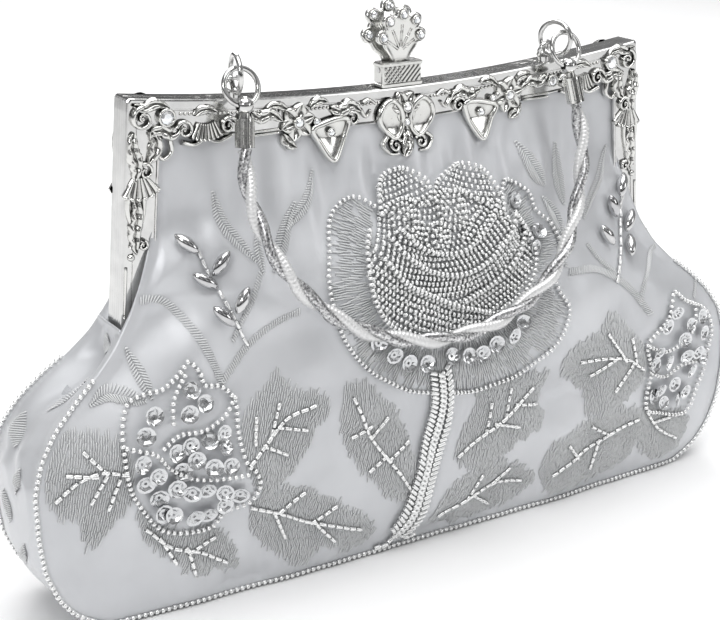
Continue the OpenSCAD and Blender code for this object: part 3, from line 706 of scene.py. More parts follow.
def radial_stitches(heap, poly, centre, face, length=5.0, width=0.55, lift=0.3, pitch=0.75):
    """Long stitches that fill a polygon and point at a centre."""
    poly, centre = np.asarray(poly, float), np.asarray(centre, float)
    rel = poly - centre
    radius = np.hypot(rel[:, 0], rel[:, 1])
    cs, at, dr = [], [], []
    for r in np.arange(radius.min() * 0.6, radius.max() + length, length * 0.8):
        for a in np.arange(0, 2 * np.pi, pitch / max(r, 5)):
            rr = r + RNG.uniform(-0.35, 0.35) * length
            v = np.array([math.cos(a), math.sin(a)])
            cs.append(centre + v * rr)
            at.append(length * RNG.uniform(0.7, 1.2))
            tilt = RNG.normal(0, 0.1)
            dr.append((v[0] * math.cos(tilt) - v[1] * math.sin(tilt),
                       v[0] * math.sin(tilt) + v[1] * math.cos(tilt)))
    cs, at, dr = np.array(cs), np.array(at), np.array(dr)
    fifth = dr * at[:, None] * 0.2
    keep = inside(poly, cs) & inside(poly, cs + fifth) & inside(poly, cs - fifth)
    lay_stitches(heap, cs[keep], dr[keep], at[keep], width, lift, face)


def vine(heap, path_xz, width, face, slant=25, pitch=0.8, lift=0.35):
    """A stem of short slanted stitches across a line."""
    pts, t = spaced(curve(path_xz, 1.0), pitch)
    n = len(pts)
    c, s = math.cos(math.radians(90 - slant)), math.sin(math.radians(90 - slant))
    d = np.stack([t[:, 0] * c - t[:, 1] * s, t[:, 0] * s + t[:, 1] * c], -1)
    lay_stitches(heap, pts, d, np.full(n, float(width)) * 0.82 * RNG.uniform(0.85, 1.1, n), 0.5, lift, face)


def fern_leaf(heap, path_xz, width, face, slant=30):
    """An almond-shaped leaf of slanted stitches on both sides of its midline."""
    pts, t = spaced(curve(path_xz, 1.0), 0.8)
    n = len(pts)
    half = width / 2 * np.sin(np.linspace(0.12, np.pi - 0.12, n)) ** 0.8
    q = np.stack([-t[:, 1], t[:, 0]], -1)
    c, s = math.cos(math.radians(slant)), math.sin(math.radians(slant))
    for sign in (1, -1):
        d = unit(q * sign * c + t * s)
        lengths = np.maximum(half * RNG.uniform(0.9, 1.15, n), 0.9)
        lay_stitches(heap, pts + d * half[:, None] / 2, d, lengths, 0.5, 0.35, face)


def bead_rows(heap, poly, angle, face, off, bend_by, row_step=1.85, step=1.72, size=1.75):
    """Rows of seed beads that fill a polygon, straight or bowed."""
    d = np.array([math.cos(math.radians(angle)), math.sin(math.radians(angle))])
    q = np.array([-d[1], d[0]])
    mid = poly.mean(0)
    rel = poly - mid
    span = np.abs(rel @ d).max() + 2
    reach = np.abs(rel @ q).max() + abs(bend_by) * span ** 2 + 2
    for i, w in enumerate(np.arange(-reach, reach, row_step)):
        s = np.arange(-span, span, step) + (0.5 if i % 2 else 0) * step
        pts = mid + s[:, None] * d + (w + bend_by * s ** 2)[:, None] * q
        keep = inside(poly, pts)
        if keep.sum() < 1:
            continue
        run = pts[keep] + RNG.normal(0, 0.07, (keep.sum(), 2))
        tangent = unit(d[None] + 2 * bend_by * s[keep][:, None] * q[None])
        p, n = on_satin(run, off, face)
        along = in_plane(tangent) + RNG.normal(0, 0.12, (len(run), 3))
        sizes = size / 2 * (1 + RNG.normal(0, 0.06, len(run)))
        stamp(heap, BEAD, p, turned_lengthwise(axes_on(n, along)), sizes)


def put_sequins(heap, spots, face, size=5.9, off=1.1):
    """Sequins at (x, z) spots, a little out of line and tilted, some lying over others."""
    spots = np.asarray(spots, float)
    spots = spots + RNG.normal(0, 0.25, spots.shape)
    lift = off + 0.35 * (np.arange(len(spots)) % 3)
    p, n = on_satin(spots, lift, face)
    n = unit(n + RNG.normal(0, 0.16, n.shape))
    turn = RNG.uniform(0, 6.28, len(spots))
    along = np.stack([np.cos(turn), np.zeros(len(spots)), np.sin(turn)], -1)
    stamp(heap, SEQUIN, p, axes_on(n, along), size / 2 * (1 + RNG.normal(0, 0.04, len(spots))))


# ---------------------------------------------------------------- embroidery design: (x, z) in millimetres

# by name: outline, veins and the lean of the stitches
LEAVES = {
    "bud_left": ([(-109, 59), (-115, 66), (-121, 68), (-127, 68), (-131, 62), (-134, 55), (-134, 47),
        (-130, 41), (-126, 40), (-123, 30), (-118, 32), (-113, 38), (-109, 42), (-108, 50)], [[(-111, 53),
        (-118, 55), (-124, 53), (-131, 48)], [(-117, 55), (-122, 61)], [(-120, 54), (-127, 55)], [(-117, 53),
        (-121, 46)], [(-113, 51), (-116, 43)]], 78),
    "bud_up": ([(-72, 45), (-72, 63), (-66, 70), (-59, 75), (-55, 71), (-52, 68), (-45, 66), (-42, 60),
        (-47, 56), (-50, 50), (-57, 41), (-65, 38)], [[(-71, 49), (-64, 55), (-57, 61), (-49, 63)],
        [(-63, 57), (-60, 65)], [(-60, 58), (-52, 56)], [(-66, 53), (-59, 49)], [(-69, 55), (-68, 62)]], 72),
    "bud_low": ([(-71, 34), (-66, 38), (-58, 37), (-50, 34), (-44, 30), (-36, 25), (-23, 13), (-25, 7),
        (-32, 6), (-43, 10), (-49, 6), (-60, 12), (-69, 22)], [[(-70, 33), (-60, 28), (-50, 22), (-42, 19),
        (-30, 14)], [(-60, 29), (-52, 33)], [(-62, 28), (-58, 19)], [(-47, 21), (-40, 25)], [(-45, 19),
        (-40, 13)]], 76),
    "bud_bottom": ([(-108, 41), (-106, 32), (-104, 27), (-97, 20), (-90, 14), (-82, 12), (-73, 10), (-76, 20),
        (-82, 28), (-92, 30), (-100, 33)], [[(-104, 32), (-97, 25), (-88, 21), (-79, 15)], [(-100, 28),
        (-96, 20)], [(-92, 23), (-90, 15)], [(-91, 22), (-83, 24)]], 70),
    "stem_left": ([(-36, 67), (-39, 57), (-37, 47), (-33, 40), (-27, 32), (-20, 25), (-9, 18), (-8, 28),
        (-11, 40), (-15, 51), (-22, 60), (-28, 66)], [[(-34, 62), (-30, 52), (-25, 44), (-17, 33), (-10, 23)],
        [(-29, 52), (-34, 50)], [(-27, 48), (-22, 53)], [(-22, 39), (-27, 36)], [(-20, 38), (-13, 42)]], 75),
    "stem_high": ([(6, 32), (11, 43), (16, 49), (14, 55), (24, 56), (33, 57), (46, 55), (43, 46), (46, 37),
        (35, 32), (23, 26), (13, 27)], [[(8, 33), (18, 38), (28, 43), (38, 50)], [(19, 39), (21, 48)],
        [(27, 43), (29, 52)], [(23, 41), (32, 38)], [(32, 46), (40, 44)]], 74),
    "stem_low": ([(0, 9), (3, 18), (10, 24), (23, 26), (36, 22), (44, 13), (35, 7), (23, 5), (11, 4)],
        [[(3, 11), (14, 15), (26, 17), (37, 15)], [(13, 15), (18, 22)], [(16, 15), (24, 9)], [(25, 17),
        (31, 21)]], 72),
    "right_up": ([(92, 40), (78, 33), (65, 34), (64, 42), (51, 56), (60, 62), (70, 65), (76, 70), (86, 61),
        (93, 53)], [[(91, 46), (82, 52), (74, 54), (62, 55)], [(81, 52), (74, 62)], [(87, 50), (85, 58)],
        [(76, 53), (67, 49)], [(85, 49), (78, 41)]], 74),
    "right_low": ([(92, 30), (72, 33), (58, 30), (48, 25), (46, 13), (54, 5), (65, 5), (79, 6), (90, 11),
        (94, 22)], [[(90, 26), (78, 24), (66, 20), (52, 14)], [(76, 24), (68, 29)], [(72, 22), (70, 12)],
        [(62, 18), (57, 24)]], 72),
    "right_side": ([(97, 31), (107, 26), (118, 21), (121, 16), (117, 8), (105, 6), (95, 13), (92, 24)],
        [[(96, 27), (103, 19), (112, 13)], [(101, 22), (108, 22)]], 72),
}

ROSE_CENTRE = (5, 98)
GREY_PETALS = [ [(-19, 121), (-24, 123), (-29, 121), (-33, 117), (-36, 109), (-38, 101), (-37, 89), (-33, 79),
    (-26, 70), (-22, 84), (-26, 95), (-25, 105), (-21, 112)], [(-26, 71), (-20, 66), (-13, 62), (-6, 60),
    (2, 59), (2, 77), (-6, 77), (-16, 84), (-22, 86), (-27, 80)], [(2, 59), (12, 56), (22, 57), (31, 58),
    (41, 63), (49, 69), (53, 76), (49, 83), (42, 89), (36, 86), (27, 80), (12, 76), (2, 76)], [(31, 108),
    (31, 114), (34, 120), (39, 119), (44, 115), (46, 108), (50, 104), (53, 98), (49, 91), (43, 89), (39, 95),
    (35, 102)], ]
GREY_OUTLINES = [ [(-18, 120), (-23, 123.5), (-29, 122), (-34, 117), (-37, 109), (-39, 100), (-38, 89),
    (-34, 79), (-27, 70), (-20, 65), (-13, 61), (-6, 59), (1, 57.5)], [(1, 57.5), (3, 60), (1, 64)],
    [(1, 57.5), (12, 55), (22, 56), (32, 57.5), (42, 62), (50, 68), (54, 76), (50.5, 83), (50, 88), (54, 97),
    (51, 105), (46.5, 110), (44.5, 116), (39, 120), (34, 121), (30.5, 115), (30, 108), (34, 99)], ]
BOWL_PETALS = [ ([(-25, 105), (-26, 96), (-23, 88), (-17, 84), (-9, 79), (3, 76), (14, 76), (24, 79),
    (12, 84), (-2, 89), (-12, 95), (-19, 102), (-22, 108)], -28, 0.006), ([(14, 76), (24, 79), (33, 84),
    (39, 91), (41, 98), (37, 104), (33, 99), (26, 93), (17, 89), (8, 87), (16, 83), (24, 79)], 22, 0.006),
    ([(-21, 108), (-18, 102), (-11, 95), (-2, 90), (8, 88), (18, 90), (27, 95), (34, 102), (33, 109),
    (28, 104), (18, 98), (8, 96), (-2, 98), (-11, 103), (-17, 110)], 2, 0.012), ([(-16, 110), (-10, 104),
    (-2, 99), (8, 97), (18, 99), (27, 105), (31, 111), (28, 114), (20, 108), (11, 103), (2, 103), (-6, 107),
    (-12, 112)], 4, 0.014), ([(11, 104), (19, 108), (27, 114), (24, 116), (16, 112), (12, 110)], 38, 0.0), ]
BOWL_BASE = [(-22, 112), (-25, 105), (-25, 96), (-22, 88), (-16, 83), (-8, 79), (4, 76.5), (14, 76.5),
    (24, 79.5), (32, 84), (38, 91), (40, 98), (37, 105), (32, 111), (29, 118), (20, 119), (12, 121), (3, 120),
    (-6, 121), (-15, 119)]
BOWL_ARCS = [ [(-22, 113), (-25, 106), (-26, 96), (-23, 88), (-17, 83), (-9, 78.5), (3, 75.5), (14, 75.5),
    (24, 78.5), (33, 83.5), (39.5, 91), (41, 98), (38, 105), (33, 111)], [(-22, 108), (-18, 102), (-11, 94.5),
    (-1, 89), (12, 83.5), (24, 79)], [(9, 87), (18, 89.5), (27, 94), (34, 100), (38, 105)], [(-17, 111),
    (-11, 103.5), (-2, 98), (8, 96), (18, 98), (28, 104), (33, 110)], [(-12, 112), (-6, 106.5), (2, 103),
    (11, 103), (20, 108), (28, 115)], ]
LOBES = [ ([(-17, 117), (-15, 124), (-9, 129), (-3, 129.5), (2, 126), (3, 121), (0, 118), (-6, 120),
    (-12, 119)], 12), ([(4, 119), (7, 123), (13, 127), (21, 128), (27, 124), (30, 117), (28, 112), (22, 116),
    (14, 120), (8, 120)], -18), ]
ROSE_BUDS = [((-8, 113), 5.6), ((9, 115.5), 5.2), ((2, 108), 4.4)]
ROSE_SEQUINS = [(37, 114), (38, 104), (42, 98), (46, 103), (33, 76), (28, 72.5), (22, 70), (16, 68.5),
    (10, 68.5), (4, 69), (-13, 70), (-18, 74), (-23, 79), (-7, 69.5)]
STEM_LINE = [(-1, 64), (0, 55), (-1, 45), (-4, 34), (-7, 23), (-10, 13), (-13, 6)]
STEM_ENDS = [[(-13, 6), (-17, 3), (-20, 3)], [(-12, 7), (-9, 4), (-6, 4)]]
LEFT_BUD = [(-110, 50), (-111, 60), (-110, 67), (-107, 73), (-102, 75), (-96, 76), (-90, 80), (-87, 83),
    (-84, 79), (-83, 75), (-78, 74), (-74, 69), (-74, 60), (-73, 50), (-70, 46), (-69, 41), (-72, 36),
    (-79, 34), (-83, 29), (-91, 29), (-100, 32), (-107, 42)]
LEFT_BUD_LINES = [[(-110, 61), (-102, 58), (-97, 52), (-89, 47), (-79, 46), (-73, 46)], [(-99, 59), (-93, 62),
    (-85, 62), (-78, 65), (-74, 70)], [(-95, 66), (-94, 72), (-89, 79)]]
LEFT_SEQUINS = [(-101, 69), (-104, 64), (-88, 74), (-84, 70), (-89, 68), (-95, 57), (-90, 58), (-84, 58),
    (-79, 60), (-79, 55), (-88, 53), (-83, 50), (-78, 50), (-106, 56), (-101, 51), (-105, 49), (-95, 45),
    (-90, 43), (-101, 43), (-85, 43), (-80, 42), (-75, 40), (-96, 37), (-90, 35), (-85, 34), (-80, 37),
    (-100, 38), (-93, 50)]
RIGHT_BUD = [(94, 30), (96, 44), (93, 54), (98, 59), (104, 63), (107, 71), (113, 67), (119, 64), (126, 60),
    (129, 51), (127, 40), (123, 32), (119, 23), (113, 22), (104, 25)]
RIGHT_BUD_LINES = [[(94, 54), (102, 50), (110, 51), (117, 57), (119, 64)], [(96, 43), (104, 40), (114, 43),
    (127, 41)]]
RIGHT_SEQUINS = [(102, 60), (108, 64), (121, 59), (123, 53), (112, 53), (99, 51), (98, 46), (105, 45),
    (119, 47), (118, 39), (102, 35), (109, 36), (98, 33), (104, 29), (111, 29), (114, 46), (116, 31),
    (122, 44), (115, 58)]
VINES = [([(-104, 96), (-97, 101), (-90, 100), (-84, 92), (-80, 83), (-77, 75)], 3.6), ([(-77, 75), (-68, 84),
    (-59, 90), (-50, 93)], 3.0), ([(-72, 87), (-66, 97), (-61, 106)], 2.4), ([(57, 88), (68, 87), (79, 82),
    (88, 75), (95, 66)], 3.4), ([(68, 95), (73, 89), (80, 83)], 2.4), ([(91, 70), (94, 78), (103, 84),
    (112, 90)], 2.6), ([(121, 66), (125, 74), (124, 79)], 2.2), ([(51, 107), (54, 99), (56, 90)], 2.2)]
FERNS = [([(-71, 131), (-69, 121), (-62, 110)], 4.6), ([(-45, 125), (-50, 116), (-56, 106)], 4.8),
    ([(-36, 133), (-42, 124), (-49, 117)], 4.2), ([(42, 133), (46, 126), (51, 118)], 7.0), ([(50, 114),
    (54, 108), (56, 101)], 6.0), ([(61, 130), (60, 120), (60, 110)], 6.0), ([(86, 125), (78, 115), (68, 104)],
    4.2), ([(-117.5, 73.5), (-111, 76), (-102, 73.5)], 6.0), ([(-103.5, 88), (-101.5, 81), (-100, 74)], 4.6),
    ([(-58, 120), (-60, 113), (-60, 106)], 3.6)]
# stem, and the middle and angle of each oval bead
SPRIGS = [([(-78, 113), (-74, 101), (-68, 86)],
           [((-82, 116), 125), ((-72, 110), 50), ((-78, 105), 140), ((-68, 99), 60), ((-75, 95), 130)]),
          ([(91, 107), (87, 96), (80, 81)],
           [((89.5, 111), 60), ((83, 105), 112), ((92.5, 98), 52), ((77.5, 96), 120), ((89, 90), 55)])]


# piece, material, the front CAD node that it replaces, and the rear one
SEWN_PIECES = [("leaf_stitches", "thread", "leaf_embroidery", "rear_leaf_embroidery"),
               ("leaf_vein_bugles", "glass_beads", None, None),
               ("vine_stitches", "pale_thread", "vine_embroidery", None),
               ("petal_stitches", "thread", "rose_petals", "rear_petals"),
               ("petal_rim_beads", "glass_beads", None, None),
               ("rose_seed_beads", "glass_beads", "rose_beads", "rear_rose_beads"),
               ("rose_sequins", "sequins", None, None),
               ("stem_bugles", "glass_beads", "stem_beads", None),
               ("left_bud_discs", "sequins", "left_bud_sequins", "rear_bud_sequins"),
               ("right_bud_discs", "sequins", "right_bud_sequins", "rear_bud_sequins"),
               ("left_bud_rims", "glass_beads", None, None),
               ("right_bud_rims", "glass_beads", None, None),
               ("sprig_stem_bugles", "glass_beads", None, None),
               ("sprig_ovals", "metal_beads", "sprig_beads", None)]


def soften(outline, step):
    return curve(outline, step, closed=True)


def sew_rose(rose, face):
    """Seed beads of the rose: a base, petals and lobes over it, their rims, and the small buds inside."""
    bead_rows(rose, soften(BOWL_BASE, 1.5), 6, face, 0.85, 0.012)
    for poly, angle, bow in BOWL_PETALS:
        bead_rows(rose, soften(poly, 1.5), angle, face, 1.6, bow)
    for poly, angle in LOBES:
        bead_rows(rose, soften(poly, 1.5), angle, face, 1.5, 0.01)
        lay_beads(rose, soften(poly, 0.6), 1.75, 1.9, 2.4, face)
    for line in BOWL_ARCS:
        lay_beads(rose, curve(line, 0.6), 1.72, 1.95, 2.8, face)
    for (x, z), r in ROSE_BUDS:
        for ring, lift in ((r, 2.6), (r - 1.8, 3.4), (r - 3.5, 3.9)):
            if ring < 0.6:
                ring = 0.5
            a = np.linspace(0, 2 * np.pi, max(6, int(ring * 8)) + 1)
            lay_beads(rose, np.stack([x + ring * np.cos(a), z + ring * np.sin(a)], -1), 1.75, 1.7, lift, face)


def sew_stem(stem, face):
    """Pairs of slanted bugles down the stem, wider towards its foot, and two short ends."""
    pts, t = spaced(curve(STEM_LINE, 0.8), 1.75)
    for i, (p, d) in enumerate(zip(pts, t)):
        for sign in (-1, 1):
            run = unit(np.array([-d[1], d[0]]) * sign * 0.86 - d * 0.5)
            wide = 2.9 + 0.9 * (i / len(pts)) ** 2
            a, b = p + run * 0.25, p + run * (wide + 0.6)
            lay_beads(stem, np.stack([a, b]), np.linalg.norm(b - a), 1.5, 1.35 - 0.1 * sign, face, BUGLE,
                      wide * 0.9, 0.04)
    for end in STEM_ENDS:
        lay_bugles(stem, curve(end, 0.8), face, 2.4, 1.5, 1.1)


def embroidery(face):
    """Everything sewn on one panel. The rear panel has the same design."""
    heaps = {piece: Heap() for piece, *_ in SEWN_PIECES}
    for poly, lines, angle in LEAVES.values():
        fill_stitches(heaps["leaf_stitches"], soften(poly, 2.0), angle, face)
        for line in lines:
            lay_bugles(heaps["leaf_vein_bugles"], curve(line, 0.8), face, 2.5 if len(line) > 2 else 2.2)
    for path, width in VINES:
        vine(heaps["vine_stitches"], path, width, face)
    for path, width in FERNS:
        fern_leaf(heaps["vine_stitches"], path, width, face)
    for poly in GREY_PETALS:
        radial_stitches(heaps["petal_stitches"], soften(poly, 2.0), ROSE_CENTRE, face)
    for line in GREY_OUTLINES:
        lay_beads(heaps["petal_rim_beads"], curve(line, 0.6), 1.75, 1.7, 1.0, face)
    sew_rose(heaps["rose_seed_beads"], face)
    sew_stem(heaps["stem_bugles"], face)
    put_sequins(heaps["left_bud_discs"], LEFT_SEQUINS, face)
    put_sequins(heaps["right_bud_discs"], RIGHT_SEQUINS, face)
    put_sequins(heaps["rose_sequins"], ROSE_SEQUINS, face, 5.8, 1.3)
    for key, outline, lines in (("left_bud_rims", LEFT_BUD, LEFT_BUD_LINES),
                                ("right_bud_rims", RIGHT_BUD, RIGHT_BUD_LINES)):
        lay_beads(heaps[key], soften(outline, 0.6), 1.95, 1.75, 1.15, face, BEAD, 1.05)
        for line in lines:
            lay_beads(heaps[key], curve(line, 0.6), 1.95, 1.7, 1.5, face, BEAD, 1.05)
    for line, beads in SPRIGS:
        lay_bugles(heaps["sprig_stem_bugles"], curve(line, 0.8), face, 2.9, 1.15, 0.8, 0.35)
        centres = np.array([b[0] for b in beads], float)
        angles = np.radians([b[1] for b in beads])
        p, n = on_satin(centres, 2.1, face)
        along = in_plane(np.stack([np.cos(angles), np.sin(angles)], -1))
        stamp(heaps["sprig_ovals"], OVAL, p, turned_lengthwise(axes_on(n, along)),
              np.tile([2.0, 2.0, 4.6], (len(beads), 1)))
    for piece, material, front_node, rear_node in SEWN_PIECES:
        slot = "thread" if material == "pale_thread" else material
        name = piece if face > 0 else "rear_" + piece
        sewn = bend(heaps[piece].build(name, material, slot, material != "sequins"))
        node = front_node if face > 0 else rear_node
        if node:
            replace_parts(sewn, node)


def seam_path(face):
    """Line of the bead piping of one panel: down the left seam, along the base and up the right seam."""
    foot = 1.2
    z = np.concatenate([np.linspace(80, 10, 60), np.linspace(10, foot, 24)])
    left = np.stack([-(SIDE(z) + 0.1), -(EDGE(z) + 0.5), z], -1)
    xs = np.linspace(1.5 - SIDE(foot), SIDE(foot) - 1.5, 160)
    low = np.stack([xs, -(depth(xs, np.full(160, foot), face) + 0.5), np.full(160, foot)], -1)
    path = np.concatenate([left, low, (left * [-1, 1, 1])[::-1]])
    return path * [1, face, 1]


def piping(face, name, node):
    """Beads along the seams of one panel, over a thread."""
    pts, t = spaced(seam_path(face), 2.0)
    pts[:, 2] = np.maximum(pts[:, 2], 1.05)
    heap = Heap()
    up = np.tile([0.0, -1.0 * face, 0.3], (len(pts), 1))
    fr = axes_on(up, t + RNG.normal(0, 0.04, t.shape))
    s = 0.85 * (1 + RNG.normal(0, 0.04, len(pts)))
    stamp(heap, BEAD, pts, turned_lengthwise(fr), np.stack([s, s, np.full(len(pts), 1.15)], -1))
    o = heap.build(name, "glass_beads")
    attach(o, "pouch")
    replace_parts(o, node)
    cord = Heap()
    route = seam_path(face) * [0.9965, 0.99, 1]
    route[:, 2] = np.maximum(route[:, 2], 0.6)
    tube(cord, spaced(route, 2.2)[0], 0.5, 6)
    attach(cord.build(name + "_seam_thread", "thread"), "pouch")


# ---------------------------------------------------------------- lining and base

def lining_panel(name, face):
    z = np.linspace(71, 149, 60)
    u = np.linspace(-1, 1, 110)
    zz, uu = np.meshgrid(z, u, indexing="ij")
    x = uu * np.minimum(SIDE(zz) - 4.0, np.where(zz > HINGE_Z, 90.0, 200.0))
    zt = np.minimum(zz, rail_z(x) - 5.5)
    y = np.maximum(depth(x, zt, face) - 1.5 - 0.9 * np.clip((zt - 90) / 20, 0, 1) * (1 - uu ** 4), 1.6)
    y = y + 0.3 * np.sin(x * 0.16 + zz * 0.07) * np.clip((145 - zz) / 20, 0, 1) - 0.35
    grid = np.stack([x, -y * face, zt], -1)
    return closed_sheet(grid, 0.35, (0, -face, 0)).build(name, "lining")


def tub(name):
    """Lining of the pouch: a closed cup with rounded corners."""
    z = np.concatenate([[1.9, 1.9, 1.9, 2.2], np.linspace(3, 74, 46)])
    shrink = np.concatenate([[0.02, 0.5, 0.96, 0.99], np.ones(46)])
    a = np.linspace(0, 2 * np.pi, 121)
    rows = []
    for h, k in zip(z, shrink):
        ca, sa = np.cos(a), np.sin(a)
        px = np.sign(ca) * np.abs(ca) ** 0.35 * (SIDE(h) - 5.0)
        ratio = np.clip(np.abs(px) / SIDE(h), 0, 1)
        side_depth = EDGE(h) + (BELLY(h) - EDGE(h)) * (1 - ratio ** PANEL_CURVE) - 4.0
        py = np.sign(sa) * np.abs(sa) ** 0.5 * side_depth
        rows.append(np.stack([px * k, py * k, np.full(len(a), h)], -1))
    return closed_sheet(np.array(rows), 0.3, (0, 0, 0)).build(name, "lining")


def pocket(name):
    """Slip pocket on the rear lining with a turned hem."""
    xs, zs = np.linspace(-48, 48, 60), np.linspace(28, 88, 34)
    zz, xx = np.meshgrid(zs, xs, indexing="ij")
    sag = 1.4 * np.exp(-((zz - 60) / 22) ** 2) * (1 - (xx / 48) ** 4) * 0.6
    y = np.minimum(depth(xx, zz, -1) - 3.2, 24.5) - sag
    grid = np.stack([xx, y, zz], -1)
    cloth = closed_sheet(grid, 0.4, (0, -1, 0)).build(name, "lining")
    hem = Heap()
    line = np.stack([xs, depth(xs, np.full(60, 88.0), -1) - 3.4, np.full(60, 87.4)], -1)
    line[:, 1] = np.minimum(line[:, 1], 24.3)
    tube(hem, line, 0.75, 8, flat=0.8)
    return cloth, hem.build(name + "_hem", "lining")


def base_parts():
    """Stiffened bottom: the board and the satin sewn under it."""
    a = np.linspace(0, 2 * np.pi, 97)
    rows = []
    for k in (0.02, 0.3, 0.6, 0.85, 0.97, 1.0):
        px = np.sign(np.cos(a)) * np.abs(np.cos(a)) ** 0.3 * 112.5 * k
        py = np.sign(np.sin(a)) * np.abs(np.sin(a)) ** 0.6 * (17.0 + 2.0 * (1 - (px / 113) ** 2)) * k
        rows.append(np.stack([px, py, np.full(len(a), 0.12) + 0.5 * k ** 12], -1))
    grid = np.array(rows)
    bottom = closed_sheet(grid, 0.35, (0, 0, -1)).build("base_satin", "satin")
    top = grid * [0.975, 0.94, 0] + [0, 0, 1.75]
    return bottom, closed_sheet(top, 1.1, (0, 0, 1)).build("stiffening_board", "board")


# ---------------------------------------------------------------- frame and its ornament

def arm_x(z):
    return FRAME_W / 2 + ARM_FLARE * (CORNER_Z - z) / (CORNER_Z - HINGE_Z)


ARM_END_Z, INNER_CORNER_Z = 88.5, 151.0
# one half of the frame in section: distance in from its outer edge, and out from the middle of the bag
CHANNEL = [(0.35, 0.2), (0.0, 0.45), (0.0, 1.25), (0.42, 1.5), (0.42, 1.7), (0.0, 1.95), (0.0, 2.75),
    (0.42, 3.0), (0.42, 3.2), (0.0, 3.45), (0.0, 4.25), (0.3, 4.6), (0.7, 4.7), (2.9, 4.7), (3.05, 4.42),
    (3.3, 4.42), (3.5, 4.7), (10.1, 4.7), (10.3, 5.0), (10.6, 5.15), (10.9, 5.0), (11.0, 4.6), (10.9, 4.0),
    (10.6, 3.8), (1.2, 3.8), (0.95, 3.5), (0.95, 0.2)]


def channel(face):
    """U-shaped frame half with ribs around its outside and a rolled lip, mitred at the corners."""
    outer, inner = [], []
    corner_x = arm_x(INNER_CORNER_Z) - BAND_W
    for z in np.linspace(ARM_END_Z, 158, 44):
        outer.append((arm_x(z), z))
        width = BAND_W * (0.55 + 0.45 * min(1, (z - ARM_END_Z) / 7))
        inner.append((arm_x(z) - width, min(z, INNER_CORNER_Z)))
    for t in (0.25, 0.5, 0.75):
        a = t * math.pi / 2
        outer.append((95.5 + 1.6 * math.cos(a), rail_z(96) - 1.5 + 1.6 * math.sin(a)))
        inner.append((corner_x, INNER_CORNER_Z))
    for x in np.linspace(94.5, 0, 70):
        outer.append((x, rail_z(x)))
        inner.append((min(x, corner_x), rail_z(x) - BAND_W))
    outer, inner = np.array(outer), np.array(inner)
    outer = np.concatenate([outer, outer[-2::-1] * [-1, 1]])
    inner = np.concatenate([inner, inner[-2::-1] * [-1, 1]])
    prof = np.array(CHANNEL)
    s = prof[:, 0][None, :, None] / BAND_W
    xz = outer[:, None] * (1 - s) + inner[:, None] * s
    y = np.broadcast_to(-prof[:, 1] * face, xz.shape[:2])
    pts = np.stack([xz[..., 0], y, xz[..., 1]], -1)
    k = len(prof)
    f = grid_faces(len(pts), k, wrap=True)
    ends = [list(range(k))[::-1], list(range((len(pts) - 1) * k, len(pts) * k))]
    heap = Heap()
    if face > 0:
        f = f[:, ::-1]
        ends = [e[::-1] for e in ends]
    heap.add(pts.reshape(-1, 3), f)
    heap.faces.extend(ends)
    for sign in (-1, 1):
        x0 = sign * (101.3 if face > 0 else 99.8)
        ear = [(-4.4 * face * math.sin(t), HINGE_Z - 4.4 * math.cos(t)) for t in np.linspace(-2.1, 2.1, 26)]
        ear += [(-4.3 * face, 92.5), (-0.5 * face, 92.5)]
        extrude_x(heap, ear, x0 - 0.55, x0 + 0.55)
    return heap


def extrude_x(heap, outline, x0, x1):
    """Prism along X over an outline of (y, z) points."""
    p = np.array(outline, float)
    hull = p - p.mean(0)
    p = p[np.argsort(np.arctan2(hull[:, 1], hull[:, 0]))]
    n = len(p)
    v = np.concatenate([np.column_stack([np.full(n, x0), p]), np.column_stack([np.full(n, x1), p])])
    start = heap.n
    i = np.arange(n)
    heap.add(v, np.stack([i, (i + 1) % n, (i + 1) % n + n, i + n], -1))
    heap.faces.append((i[::-1] + start).tolist())
    heap.faces.append((i + n + start).tolist())


